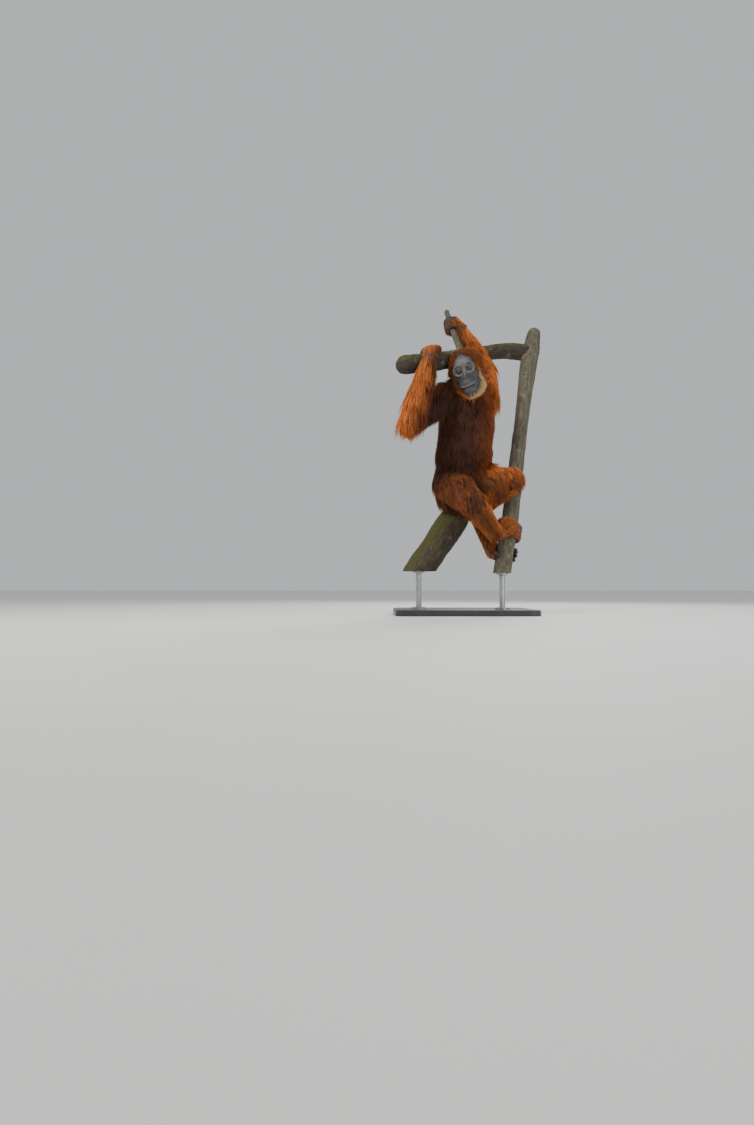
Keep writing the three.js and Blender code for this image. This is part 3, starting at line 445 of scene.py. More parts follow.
class Grid:
    def __init__(self, step, reach):
        self.step = step
        self.low = np.min([p.low for p in PARTS], axis=0) - reach
        high = np.max([p.high for p in PARTS], axis=0) + reach
        shape = np.ceil((high - self.low) / step).astype(int) + 1
        self.value = np.full(shape, 200.0)
        for part in PARTS:
            first = np.maximum(((part.low - reach - self.low) / step).astype(int), 0)
            last = np.minimum(((part.high + reach - self.low) / step).astype(int) + 2, shape)
            axes = [self.low[k] + step * np.arange(first[k], last[k]) for k in range(3)]
            P = np.stack(np.meshgrid(*axes, indexing="ij"), -1).reshape(-1, 3)
            cut = tuple(slice(a, b) for a, b in zip(first, last))
            block = self.value[cut]
            self.value[cut] = blend(block, part.field(P).reshape(block.shape), part.soft)

    def read(self, P, array):
        q = np.clip((P - self.low) / self.step, 0, np.array(self.value.shape) - 1.001)
        i = q.astype(int)
        f = q - i
        total = 0
        for dx, dy, dz in np.ndindex(2, 2, 2):
            share = np.abs(1 - dx - f[:, 0]) * np.abs(1 - dy - f[:, 1]) * np.abs(1 - dz - f[:, 2])
            corner = array[i[:, 0] + dx, i[:, 1] + dy, i[:, 2] + dz]
            total = total + (share[:, None] if corner.ndim == 2 else share) * corner
        return total

    def find_slopes(self):
        self.gradient = np.stack(np.gradient(self.value), -1)

    def outward(self, P):
        return unit(self.read(P, self.gradient))


def net_over(grid):
    D = grid.value
    inside = D < 0
    cells = np.array(D.shape) - 1

    def corner(array, dx, dy, dz):
        return array[dx : dx + cells[0], dy : dy + cells[1], dz : dz + cells[2]]

    count = sum(corner(inside, *c).astype(int) for c in np.ndindex(2, 2, 2))
    active = (count > 0) & (count < 8)
    number = np.full(active.shape, -1)
    number[active] = np.arange(active.sum())
    place = np.zeros((active.sum(), 3))
    hits = np.zeros(active.sum())
    base = np.argwhere(active)
    for a in np.ndindex(2, 2, 2):
        for axis in range(3):
            if a[axis]:
                continue
            b = tuple(v + (k == axis) for k, v in enumerate(a))
            va, vb = corner(D, *a)[active], corner(D, *b)[active]
            crossing = (va < 0) != (vb < 0)
            share = va[crossing] / (va[crossing] - vb[crossing])
            point = base[crossing] + np.array(a, float)
            point[:, axis] += share
            place[crossing] += point
            hits[crossing] += 1
    place = grid.low + grid.step * place / hits[:, None]
    faces = []
    for axis in range(3):
        u, v = (axis + 1) % 3, (axis + 2) % 3
        low = [slice(None)] * 3
        high = [slice(None)] * 3
        low[axis], high[axis] = slice(0, -1), slice(1, None)
        change = inside[tuple(low)] != inside[tuple(high)]
        rising = inside[tuple(low)]
        edges = np.argwhere(change)
        edges = edges[np.all(edges[:, [u, v]] > 0, axis=1) & np.all(edges[:, [u, v]] < cells[[u, v]], axis=1)]
        away = rising[tuple(edges.T)]
        ring = []
        for du, dv in ((-1, -1), (0, -1), (0, 0), (-1, 0)):
            cell = edges.copy()
            cell[:, u] += du
            cell[:, v] += dv
            ring.append(number[tuple(cell.T)])
        ring = np.stack(ring, 1)
        faces.append(np.where(away[:, None], ring, ring[:, ::-1]))
    return place, np.concatenate(faces)


# Meshes and materials


def mesh_from(name, P, faces, smooth=True):
    mesh = bpy.data.meshes.new(name)
    faces = np.asarray(faces)
    count, sides = faces.shape
    mesh.vertices.add(len(P))
    mesh.vertices.foreach_set("co", (np.asarray(P) * MM).ravel())
    mesh.loops.add(count * sides)
    mesh.loops.foreach_set("vertex_index", faces.ravel().astype(np.int32))
    mesh.polygons.add(count)
    mesh.polygons.foreach_set("loop_start", np.arange(0, count * sides, sides, dtype=np.int32))
    mesh.polygons.foreach_set("use_smooth", np.full(count, smooth))
    mesh.update(calc_edges=True)
    return mesh


@contextmanager
def editing(mesh):
    shape = bmesh.new()
    shape.from_mesh(mesh)
    yield shape
    shape.to_mesh(mesh)
    shape.free()


def sheet_faces(rows, columns, closed):
    """Four-sided faces over rows of points, each row closed to a ring or open."""
    starts = [(i * columns, j) for i in range(rows - 1) for j in range(columns if closed else columns - 1)]
    pairs = [(row + j, row + (j + 1) % columns) for row, j in starts]
    return [(a, b, b + columns, a + columns) for a, b in pairs]


def places_of(mesh):
    P = np.empty(len(mesh.vertices) * 3)
    mesh.vertices.foreach_get("co", P)
    return P.reshape(-1, 3) / MM


def paint(mesh, name, colours):
    layer = mesh.color_attributes.new(name, "FLOAT_COLOR", "POINT")
    rgba = np.ones((len(colours), 4))
    rgba[:, :3] = colours
    layer.data.foreach_set("color", rgba.ravel())


def add_piece(name, mesh, material, replaced=()):
    piece = bpy.data.objects.new(name, mesh)
    bpy.context.scene.collection.objects.link(piece)
    mesh.materials.append(material)
    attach(piece, "root")
    if replaced:
        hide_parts(*replaced)
    return piece


class Nodes:
    """A material with a principled shader, and short ways to add nodes to it."""

    def __init__(self, name, roughness, **inputs):
        self.material = bpy.data.materials.new(name)
        self.material.use_nodes = True
        self.tree = self.material.node_tree
        self.shader = self.tree.nodes["Principled BSDF"]
        self.set(self.shader, Roughness=roughness, **inputs)

    def set(self, node, **inputs):
        for name, value in inputs.items():
            node.inputs[name.replace("_", " ")].default_value = value

    def add(self, kind, **settings):
        node = self.tree.nodes.new(kind)
        for name, value in settings.items():
            setattr(node, name, value)
        return node

    def link(self, output, target):
        self.tree.links.new(output, target)

    def noise(self, scale, detail=4.0, roughness=0.55, distortion=0.0, vector=None):
        node = self.add("ShaderNodeTexNoise")
        self.set(node, Scale=scale, Detail=detail, Roughness=roughness, Distortion=distortion)
        vector = vector or self.add("ShaderNodeTexCoord").outputs["Object"]
        self.link(vector, node.inputs["Vector"])
        return node.outputs["Fac"]

    def ramp(self, factor, stops):
        node = self.add("ShaderNodeValToRGB")
        elements = node.color_ramp.elements
        for i, (place, colour) in enumerate(stops):
            element = elements[i] if i < 2 else elements.new(place)
            element.position = place
            element.color = (*colour, 1)
        self.link(factor, node.inputs["Fac"])
        return node.outputs["Color"]

    def step(self, factor, low, high):
        return self.ramp(factor, [(low, (0, 0, 0)), (high, (1, 1, 1))])

    def mix(self, factor, a, b, kind="MIX"):
        node = self.add("ShaderNodeMix", data_type="RGBA", blend_type=kind)
        for socket, value in ((node.inputs[0], factor), (node.inputs[6], a), (node.inputs[7], b)):
            if isinstance(value, bpy.types.NodeSocket):
                self.link(value, socket)
            elif isinstance(value, tuple):
                socket.default_value = (*value, 1)
            else:
                socket.default_value = value
        return node.outputs[2]

    def attribute(self, name, output="Color"):
        return self.add("ShaderNodeAttribute", attribute_name=name).outputs[output]

    def toned(self, factor):
        return self.mix(1.0, self.attribute("tone"), factor, "MULTIPLY")

    def bump(self, height, strength, distance, under=None):
        node = self.add("ShaderNodeBump")
        self.set(node, Strength=strength, Distance=distance)
        self.link(height, node.inputs["Height"])
        if under is not None:
            self.link(under, node.inputs["Normal"])
        return node.outputs["Normal"]

    def finish(self, colour=None, normal=None, roughness=None):
        for value, name in ((colour, "Base Color"), (normal, "Normal"), (roughness, "Roughness")):
            if value is not None:
                self.link(value, self.shader.inputs[name])
        return self.material


def skin_material():
    nodes = Nodes("bare_skin", 0.55, Subsurface_Weight=0.06, Subsurface_Radius=(0.006, 0.003, 0.002),
                  Specular_IOR_Level=0.42)
    blotch = nodes.ramp(nodes.noise(60, 5), [(0.3, (0.72, 0.7, 0.7)), (0.7, (1.15, 1.12, 1.1))])
    normal = nodes.bump(nodes.noise(150, 6, 0.68, 1.6), 0.6, 0.0026)
    normal = nodes.bump(nodes.noise(900, 3, 0.6), 0.3, 0.0006, normal)
    return nodes.finish(nodes.toned(blotch), normal)


def coat_material():
    nodes = Nodes("hair", 0.52, Specular_IOR_Level=0.24, Sheen_Weight=0.12, Sheen_Roughness=0.45,
                  Sheen_Tint=(1.0, 0.62, 0.36, 1))
    patch = nodes.ramp(nodes.noise(9, 3), [(0.3, (0.8, 0.76, 0.74)), (0.7, (1.16, 1.14, 1.1))])
    return nodes.finish(nodes.toned(patch))


def bark_material(name, dark, light, moss, moss_share):
    nodes = Nodes(name, 0.88)
    along = nodes.attribute("grain", "Vector")
    grain = nodes.noise(3.2, 9, 0.68, 0.5, along)
    cracks = nodes.step(nodes.noise(7.5, 7, 0.72, 0.9, along), 0.42, 0.54)
    fine = nodes.noise(240, 6, 0.65)
    bark = nodes.ramp(grain, [(0.32, dark), (0.68, light)])
    bark = nodes.mix(cracks, nodes.mix(0.65, bark, dark), bark)
    lichen = nodes.step(nodes.noise(21, 7, 0.72), 0.6, 0.67)
    bark = nodes.mix(lichen, bark, tuple(min(1.0, 1.5 * c + 0.03) for c in light))
    green = nodes.ramp(fine, [(0.3, tuple(0.35 * c for c in moss)), (0.75, moss)])
    level = nodes.mix(0.3, nodes.noise(13, 8, 0.7, 0.5), nodes.attribute("top"))
    edge = 0.66 - 0.4 * moss_share
    cover = nodes.step(level, edge, edge + 0.09)
    normal = nodes.bump(cracks, 0.5, 0.004)
    normal = nodes.bump(grain, 0.6, 0.004, normal)
    normal = nodes.bump(fine, 0.6, 0.0022, normal)
    return nodes.finish(nodes.mix(cover, bark, green), normal)


def stand_material(name, colour, roughness, metallic, grain):
    nodes = Nodes(name, roughness, Metallic=metallic)
    dark, light = (tuple(share * c for c in colour) for share in (0.8, 1.2))
    wear = nodes.ramp(nodes.noise(grain, 4), [(0.3, dark), (0.75, light)])
    worn = [(0.3, (roughness - 0.08,) * 3), (0.8, (roughness + 0.1,) * 3)]
    rough = nodes.ramp(nodes.noise(grain * 3, 3), worn)
    normal = nodes.bump(nodes.noise(grain * 40, 2), 0.12, 0.0004)
    return nodes.finish(wear, normal, rough)


# Coat colours, the same for the skin and the coat: the rust, maroon and cream of the hair, with painted rim
# light and painted shade by the way the surface faces


TRUNK_FRONT = at(math.sin(TRUNK_TURN), -math.cos(TRUNK_TURN), 0)
# Way the darker chest and belly face: partly the dark, sparse hair of the chest and partly painted shade
DARK_SHADED_FRONT = unit(at(-0.55, -0.85, 0))
SHIN_FRONT = unit(at(0.1, -1, -0.15))
ORANGE = at(0.58, 0.165, 0.028)
RUST = at(0.26, 0.066, 0.018)
MAROON = at(0.052, 0.018, 0.011)
CROWN = at(0.3, 0.082, 0.02)
CREAM = at(0.66, 0.47, 0.25)
DARK_SKIN = at(0.05, 0.034, 0.027)
FACE_GREY = at(0.05, 0.047, 0.049)
FACE_PALE = at(0.235, 0.222, 0.222)


def mixed(a, b, share):
    share = np.asarray(share, float)[..., None]
    return a * (1 - share) + b * share


def is_part(label, *kinds):
    wanted = [i for i, name in enumerate(NAMES) if name.startswith(kinds)]
    return np.isin(label, wanted)


def coat_tone(P, N, label):
    """Colour of the coat by place, the way its surface faces (painted rim light and painted shade), and part of
    the body.
    """

    def paint_where(tone, kinds, other):
        return np.where(is_part(label, *kinds)[:, None], other, tone)

    # Chest and belly toward maroon: partly dark chest hair, partly painted shade on the front of the trunk
    tone = mixed(RUST, MAROON, 0.95 * step_up(-0.1, 0.7, N @ DARK_SHADED_FRONT))
    # Painted rim light: the side of the right arm facing out and up is lighter orange, and the side away from
    # it is darker as painted shade
    lit_rim_right = N @ unit(at(-0.9, 0.3, 0.35))
    lit_rim_left = N @ unit(at(0.9, 0.3, 0.35))
    from_elbow = np.linalg.norm(P - JOINT["elbow"]["right"], axis=1)
    low_right = step_up(140, 0, from_elbow)
    forearm = mixed(RUST * 0.55, ORANGE, step_up(-0.9 + 0.5 * low_right, 0.3, lit_rim_right))
    upper = mixed(MAROON, RUST, step_up(-0.1, 0.8, lit_rim_right))
    near_elbow = step_up(120, 50, from_elbow)
    # Painted rim light: orange on the hair hanging under the right elbow
    under = step_up(0.3, -0.5, N[:, 2]) * near_elbow
    upper = mixed(mixed(upper, forearm, near_elbow), ORANGE, 0.7 * under)
    tone = paint_where(tone, ("upper_arm_right",), upper)
    tone = paint_where(tone, ("forearm_right", "hand_right"), forearm)
    # Left arm: orange as painted rim light on the side facing +X and up, rust as painted shade on the side away
    # from it
    left_arm = mixed(RUST * 0.8, ORANGE * 0.9, step_up(-0.7, 0.5, lit_rim_left))
    tone = paint_where(tone, ("upper_arm_left", "forearm_left", "hand_left"), left_arm)
    # Painted shade: the fronts of the legs and feet, turned toward the camera, are darkened toward maroon; the
    # right thigh is darker all over and darker still in that painted shade
    shaded = step_up(0.3, 1.0, N @ SHIN_FRONT)
    legs = mixed(ORANGE * 0.92, MAROON * 1.3, 0.85 * shaded)
    tone = paint_where(tone, ("thigh_left", "shank_right"), legs)
    knee_left = np.linalg.norm(P - JOINT["knee"]["left"], axis=1)
    shin_left = mixed(legs, mixed(ORANGE, RUST, 0.3 * shaded), step_up(60, 130, knee_left))
    tone = paint_where(tone, ("shank_left",), shin_left)
    haunch = mixed(mixed(legs, RUST, 0.6), MAROON * 1.3, 0.55 + 0.3 * shaded)
    tone = paint_where(tone, ("thigh_right",), haunch)
    feet = mixed(ORANGE * 0.8, RUST, 0.3 * shaded)
    tone = paint_where(tone, ("foot",), feet)
    x, y, z = to_head(P).T
    crown = mixed(CROWN * 0.8, CROWN, step_up(-30, 60, y))
    low = step_up(6, -52, z) * step_up(62, 10, y)
    image_left = step_up(-58, -6, x + 0.35 * (z + 60))
    hair = mixed(mixed(crown, ORANGE * 0.7, low * (1 - image_left)), CREAM, low * image_left)
    hair = mixed(hair, RUST, is_part(label, "neck") * 0.7)
    return paint_where(tone, ("head", "ear", "neck"), hair)


def face_share(P, grown=1.0):
    """1 on the bare face, 0 where hair grows on the head."""
    x, y, z = to_head(P).T
    oval = np.hypot(x / 53, (z + 30) / np.where(z > -30, 95, 86)) / grown
    return step_up(1.06, 0.94, oval) * step_up(6, -14, y)


def skin_tone(P, N, label):
    x, y, z = mirrored(to_head(P)).T
    tone = mixed(coat_tone(P, N, label) * 0.42, DARK_SKIN, is_part(label, "hand", "foot", "ear"))
    from_eye = np.hypot(x - EYE_APART, (z - 1) / 1.1)
    across = z - mouth_height(x)
    rims = bell(from_eye - 20, 6) * (0.2 + 0.26 * step_up(6, -14, z))
    lid = bell(from_eye, 12) * 0.12
    # The pale patch on the brow ridge is a painted highlight
    brow_highlight = bell(x, 28) * bell(z - 36, 14) * 0.6
    nose = bell(x, 9) * bell(z + 22, 16) * 0.2
    lip = bell(across - 7, 4) * step_up(42, 30, x) * 0.45
    chin = bell(x, 30) * bell(z + 104, 12) * 0.25
    pale = np.clip(rims + lid + brow_highlight + nose + lip + chin, 0, 0.95) * (y < -20)
    # Painted shade: the crease between the lips and the nostrils are darkened toward near black
    seam_shade = bell(across, 1.7) * step_up(36, 29, x) * (y < -35)
    nostril_shade = bell(nostril_distance(x, z), 3.2) * (y < -60)
    face = mixed(FACE_GREY, FACE_PALE, pale)
    face = mixed(face, DARK_SKIN * 0.4, np.maximum(seam_shade * 0.85, nostril_shade * 0.95))
    return mixed(tone, face, face_share(P, 1.12) * is_part(label, "head"))


# The skin: one closed surface over the whole body, finer on the face, hands and feet


def refine(mesh, chosen):
    with editing(mesh) as shape:
        shape.edges.ensure_lookup_table()
        middles = np.array([(e.verts[0].co + e.verts[1].co) / 2 for e in shape.edges]) / MM
        edges = [shape.edges[i] for i in np.flatnonzero(chosen(middles))]
        bmesh.ops.subdivide_edges(shape, edges=edges, cuts=1, use_grid_fill=True)
        shape.verts.ensure_lookup_table()
        P = settle(np.array([v.co for v in shape.verts]) / MM, 2)
        for vert, place in zip(shape.verts, P):
            vert.co = place * MM


def face_hand_or_ear(P):
    q = to_head(P)
    x, y, z = q.T
    face = (np.hypot(x / 64, (z + 30) / 98) < 1) & (y < 1)
    grips = np.min([np.linalg.norm(P - grip["middle"], axis=1) for grip in GRIPS], axis=0) < 105
    return face | grips | (np.linalg.norm(mirrored(q) - EAR_AT, axis=1) < 28)


def eye_or_mouth(P):
    x, y, z = mirrored(to_head(P)).T
    eyes = (np.hypot(x - EYE_APART, z) < 27) & (y < -35)
    mouth = (np.abs(z - mouth_height(x)) < 15) & (x < 44) & (y < -30)
    nose = (x < 20) & (z < -25) & (z > -60) & (y < -60)
    return eyes | mouth | nose


def lids_or_lips(P):
    x, y, z = mirrored(to_head(P)).T
    lids = (np.hypot(x - EYE_APART, z) < 15) & (y < -50)
    nostrils = (np.hypot(x - NOSTRIL_APART, z - NOSTRIL_HEIGHT) < 8) & (y < -60)
    return lids | nostrils | ((np.abs(z - mouth_height(x)) < 6) & (x < 41) & (y < -35))


def make_skin(grid):
    P, quads = net_over(grid)
    P = settle(P)
    mesh = mesh_from("skin", P, quads)
    for chosen in (face_hand_or_ear, eye_or_mouth, lids_or_lips):
        refine(mesh, chosen)
    P = places_of(mesh)
    _, label = body(P)
    paint(mesh, "tone", skin_tone(P, slope(P), label))
    mesh.polygons.foreach_set("use_smooth", np.full(len(mesh.polygons), True))
    flesh = [name for name in frame["nodes"] if name.startswith((*NAMES, "face"))]
    return add_piece("skin", mesh, skin_material(), flesh)


# Hair: guides grow from the skin, bend along the body and hang, and strands gather round each guide


LIES = {  # part: along the limb, downward, lift, length, hang, hold to the surface
    "torso": (0.0, 1.0, 0.08, 112, 0.25, 0.2),
    "neck": (0.0, 1.0, 0.06, 60, 0.3, 0.5),
    "head": (0.0, 1.0, 0.15, 78, 0.16, 0.4),
    "ear": (0.0, 1.0, 0.2, 10, 0.1, 0.8),
    "upper_arm": (0.3, 1.0, 0.08, 105, 0.32, 0.1),
    "forearm": (-0.5, 1.0, 0.1, 112, 0.34, 0.0),
    "hand": (1.0, 0.1, 0.04, 22, 0.04, 0.9),
    "thigh": (0.6, 0.7, 0.1, 82, 0.26, 0.3),
    "shank": (0.8, 0.5, 0.08, 66, 0.2, 0.4),
    "foot": (1.0, 0.1, 0.04, 22, 0.04, 0.9),
}
STEPS = 7


def kind_of(name):
    return name.removesuffix("_right").removesuffix("_left")


def part_axis(name):
    if kind_of(name) in LIMBS:
        stations = limb_stations(kind_of(name), name.rsplit("_", 1)[-1])
        return unit(stations[-1][0] - stations[0][0])
    return next((grip["ahead"] for grip in GRIPS if grip["name"] == name), -UP)


def lie_of(P, N, label):
    """Each root's heading, length, lift, hang and hold."""
    heading = np.zeros_like(P)
    length, lift, hang, hold = (np.zeros(len(P)) for _ in range(4))
    for i, name in enumerate(NAMES):
        mine = label == i
        along, down, rise, size, droop, grip = LIES[kind_of(name)]
        heading[mine] = part_axis(name) * along - UP * down
        length[mine], lift[mine], hang[mine], hold[mine] = size, rise, droop, grip
    x, y, z = to_head(P).T
    head = is_part(label, "head")
    sweep = np.stack([0.9 * np.tanh(x / 22), 0.55 + 0 * x, -0.45 - 0.5 * step_up(40, -20, z)], 1)
    chin = step_up(-70, -100, z)[:, None]
    sweep = sweep * (1 - chin) + chin * np.stack([0.25 * np.tanh(x / 20), 0 * x - 0.2, 0 * x - 1], 1)
    heading = np.where(head[:, None], sweep @ HEAD_TURN.T, heading)
    edge = step_up(0, 55, np.hypot(x / 53, (z + 30) / 86) * 55 - 50 + np.maximum(y, 0))
    length = np.where(head, 26 + 70 * edge, length)
    front = step_up(0.1, 0.8, N @ TRUNK_FRONT) * is_part(label, "torso")
    length = length * (1 - 0.3 * front)
    inner = is_part(label, *LIMBS)
    toward = unit(P - at(15, 0, 800))
    length = np.where(inner, length * (0.8 + 0.25 * step_up(-0.4, 0.5, np.sum(N * toward, 1))), length)
    backward = is_part(label, "torso") * step_up(0.2, -0.8, N @ TRUNK_FRONT)
    upward = step_up(0.35, 0.95, N[:, 2]) * is_part(label, "torso", "neck", "upper_arm")
    length = length * (1 + 0.15 * backward) * (1 - 0.4 * upward)
    return heading, length, lift, hang, hold


def stem_field(P):
    return np.min([chain_field(P, stem, 2) for stem in (LEVEL_STEM, UPRIGHT_STEM, SAPLING, SEAT_STEM)], 0)


def kept_off(P, room, hold, grid):
    """Moves points off the body to at least their room, and those beyond it back by a share of the way."""
    short = room - grid.read(P, grid.value)
    move = np.where(short > 0, short, short * hold)
    return P + grid.outward(P) * move[:, None]


def grow_guides(P, N, label, grid):
    heading, length, lift, hang, hold = lie_of(P, N, label)
    length = length * rng.uniform(0.8, 1.1, len(P))
    flat = unit(heading - N * np.sum(heading * N, 1)[:, None])
    flat = unit(flat + np.cross(N, flat) * rng.normal(0, 0.12, len(P))[:, None])
    direction = unit(flat + N * lift[:, None])
    places = [P - N * 1.0]
    place = P.copy()
    for i in range(1, STEPS):
        share = i / (STEPS - 1)
        place = place + direction * (length / (STEPS - 1))[:, None]
        room = np.minimum(3 + 8 * share, 0.12 * length + 1)
        place = kept_off(place, room, hold, grid)
        moved = unit(place - places[-1])
        places.append(place)
        direction = unit(moved - UP * (hang * (0.4 + share))[:, None])
    return np.stack(places, 1), length


def choose_roots(mesh, count):
    """Even random places over the skin, with none on bare skin or against a stem."""
    tris = mesh.loop_triangles
    index = np.empty(len(tris) * 3, np.int32)
    tris.foreach_get("vertices", index)
    P = places_of(mesh)
    a, b, c = (P[index.reshape(-1, 3)[:, k]] for k in range(3))
    area = np.linalg.norm(np.cross(b - a, c - a), axis=1) / 2
    picks = rng.choice(len(area), size=count, p=area / area.sum())
    u, v = rng.random((2, count))
    over = u + v > 1
    u[over], v[over] = 1 - u[over], 1 - v[over]
    Q = a[picks] + (b - a)[picks] * u[:, None] + (c - a)[picks] * v[:, None]
    N = slope(Q)
    _, label = body(Q)
    keep = rng.random(count) > face_share(Q) * is_part(label, "head")
    grips = is_part(label, "hand", "foot")
    backs = np.ones(count)
    for grip in GRIPS:
        beyond = (Q - grip["knuckles"]) @ grip["ahead"]
        backs = np.where(is_part(label, grip["name"]), step_up(15, -20, beyond), backs)
    keep &= ~grips | (rng.random(count) < backs * (stem_field(Q) > 11))
    keep &= stem_field(Q) > 3
    return Q[keep], N[keep], label[keep]


# A place on a flat sheet for every root: each part of the body has its own cell, unrolled round its
# length, so that neighbours on the skin are neighbours on the sheet

SHEET_COLUMNS = 5


def unrolled(P, label):
    uv = np.zeros((len(P), 2))
    rows = math.ceil(len(NAMES) / SHEET_COLUMNS)
    for i, part in enumerate(PARTS):
        mine = label == i
        if not mine.any():
            continue
        axis = part_axis(part.name)
        across = unit(np.cross(axis, at(0.3, 1, 0.2)))
        other = np.cross(axis, across)
        middle = (part.low + part.high) / 2
        q = P[mine] - middle
        half = np.abs((part.high - part.low) @ np.abs(axis)) / 2 + 20
        around = np.arctan2(q @ other, q @ across) / (2 * math.pi) + 0.5
        along = np.clip(q @ axis / (2 * half) + 0.5, 0, 1)
        cell = np.array([i % SHEET_COLUMNS / SHEET_COLUMNS, i // SHEET_COLUMNS / rows])
        size = np.array([1 / SHEET_COLUMNS, 1 / rows])
        uv[mine] = cell + size * (0.04 + 0.92 * np.stack([around, along], 1))
    return uv


WIDTHS = np.array([0.8, 1.0, 0.85, 0.5])
RINGS = len(WIDTHS)
PATCH = 0.003


def strand_mesh(name, paths, normals, width, tones, uv):
    """Solid strands of three sides that taper to a point: paths are N x (RINGS + 1) x 3."""
    count = len(paths)
    along = unit(np.diff(paths, axis=1))
    side = unit(np.cross(normals[:, None, :], along))
    up = np.cross(along, side)
    w = (width[:, None] * WIDTHS)[..., None] / 2
    body_points = paths[:, :RINGS]
    left = body_points + side * w - up * w * 0.25
    right = body_points - side * w - up * w * 0.25
    top = body_points + up * w * 0.55
    rings = np.stack([left, top, right], 2).reshape(count, RINGS * 3, 3)
    P = np.concatenate([rings, paths[:, RINGS:]], 1)
    size = RINGS * 3 + 1
    faces = [(0, 2, 1)]
    for i in range(RINGS - 1):
        for j in range(3):
            a, b = 3 * i + j, 3 * i + (j + 1) % 3
            faces += [(a, b, b + 3), (a, b + 3, a + 3)]
    last = 3 * (RINGS - 1)
    faces += [(last + j, last + (j + 1) % 3, size - 1) for j in range(3)]
    faces = np.array(faces)
    all_faces = (np.arange(count)[:, None, None] * size + faces[None]).reshape(-1, 3)
    mesh = mesh_from(name, P.reshape(-1, 3), all_faces)
    shade = np.concatenate([np.repeat(np.linspace(0.55, 1.12, RINGS), 3), [1.3]])
    paint(mesh, "tone", (tones[:, None, :] * shade[None, :, None]).reshape(-1, 3))
    layer = mesh.uv_layers.new(name="OFBake")
    spread = np.concatenate([np.tile([-0.5, 0.0, 0.5], RINGS), [0.0]])
    climb = np.concatenate([np.repeat(np.linspace(-0.5, 0.3, RINGS), 3), [0.5]])
    patch = np.stack([spread, climb], 1) * PATCH
    corner_uv = (uv[:, None, :] + patch[None])[:, faces.ravel()]
    layer.data.foreach_set("uv", corner_uv.ravel())
    return mesh


def strands_round(guides, length, P, N, per_guide, radius, width, grid):
    """Strands gathered round each guide, closing in on it toward the tip."""
    count = len(P) * per_guide
    owner = np.repeat(np.arange(len(P)), per_guide)
    angle = rng.uniform(0, 2 * math.pi, count)
    reach = radius[owner] * np.sqrt(rng.uniform(0, 1, count))
    n = N[owner]
    heading = unit(guides[owner, 2] - guides[owner, 0])
    across = unit(np.cross(n, heading))
    onward = np.cross(across, n)
    offset = across * (np.cos(angle) * reach)[:, None] + onward * (np.sin(angle) * reach)[:, None]
    roots = P[owner] + offset
    roots = roots - grid.outward(roots) * (grid.read(roots, grid.value) + 1.0)[:, None]
    share = np.linspace(0, 1, RINGS + 1)
    at_step = share * (STEPS - 1)
    low = np.minimum(at_step.astype(int), STEPS - 2)
    part = (at_step - low)[None, :, None]
    scale = rng.uniform(0.78, 1.06, count)[:, None, None]
    guide = guides[owner][:, low] * (1 - part) + guides[owner][:, low + 1] * part
    bent = guide - guide[:, :1]
    closing = (1 - 0.62 * share**1.3)[None, :, None]
    wave = rng.normal(0, 1, (count, 1, 3)) * (share**1.5)[None, :, None]
    wave = wave * (length[owner] * 0.022)[:, None, None]
    curl = rng.uniform(0, 2 * math.pi, count)[:, None] + share[None] * rng.uniform(2, 6, count)[:, None]
    ripple = (np.sin(curl) * share * (length[owner] * 0.018)[:, None])[..., None] * across[:, None, :]
    shift = (roots - P[owner])[:, None, :] * closing
    paths = P[owner][:, None, :] + shift + bent * scale + wave + ripple
    paths[:, 0] = roots - n
    flat = paths[:, 1:].reshape(-1, 3)
    room = np.tile(np.linspace(1.5, 6, RINGS), count)
    paths[:, 1:] = kept_off(flat, room, 0.0, grid).reshape(count, RINGS, 3)
    return owner, paths, width[owner] * rng.uniform(0.7, 1.25, count)


STRANDS_PER_GUIDE = 8
MOST_STRANDS = 8800
GUIDES, FINE_GUIDES = 7400, 12600
GUIDE_RADIUS, FINE_RADIUS = 19.0, 8.0
HAIR_WIDTH, FINE_WIDTH = 2.8, 1.4
FINE_PARTS = ("head", "ear", "hand", "foot")


def make_coat(skin, grid):
    grid.find_slopes()
    material = coat_material()
    P, N, label = choose_roots(skin.data, GUIDES)
    more = choose_roots(skin.data, FINE_GUIDES)
    extra = is_part(more[2], *FINE_PARTS)
    P, N, label = (np.concatenate([a, b[extra]]) for a, b in zip((P, N, label), more))
    guides, length = grow_guides(P, N, label, grid)
    fine = is_part(label, *FINE_PARTS)
    radius = np.where(fine, FINE_RADIUS, GUIDE_RADIUS)
    width = np.where(fine, FINE_WIDTH, HAIR_WIDTH) * np.clip(length / 45, 0.8, 1)
    owner, paths, widths = strands_round(guides, length, P, N, STRANDS_PER_GUIDE, radius, width, grid)
    roots, N, label = paths[:, 0], N[owner], label[owner]
    tones = coat_tone(roots, N, label)
    tones = tones * rng.normal(1, 0.16, len(tones)).clip(0.6, 1.5)[:, None]
    tones = (tones * (1 + rng.normal(0, 0.05, tones.shape))).clip(0, 1)
    uv = unrolled(roots, label)
    for i, name in enumerate(NAMES):
        mine = np.flatnonzero(label == i)
        for k in range(0, len(mine), MOST_STRANDS):
            pick = mine[k : k + MOST_STRANDS]
            title = f"coat_{name}_{k // MOST_STRANDS + 1}"
            mesh = strand_mesh(title, paths[pick], N[pick], widths[pick], tones[pick], uv[pick])
            add_piece(title, mesh, material)


# Eyes: a ball with a raised clear front, coloured by distance from where it looks


def eye_material():
    nodes = Nodes("eye_wet", 0.08, Coat_Weight=0.6, Coat_Roughness=0.05)
    fibres = nodes.ramp(nodes.noise(900, 3), [(0.3, (0.75, 0.7, 0.7)), (0.7, (1.2, 1.2, 1.2))])
    return nodes.finish(nodes.toned(fibres))


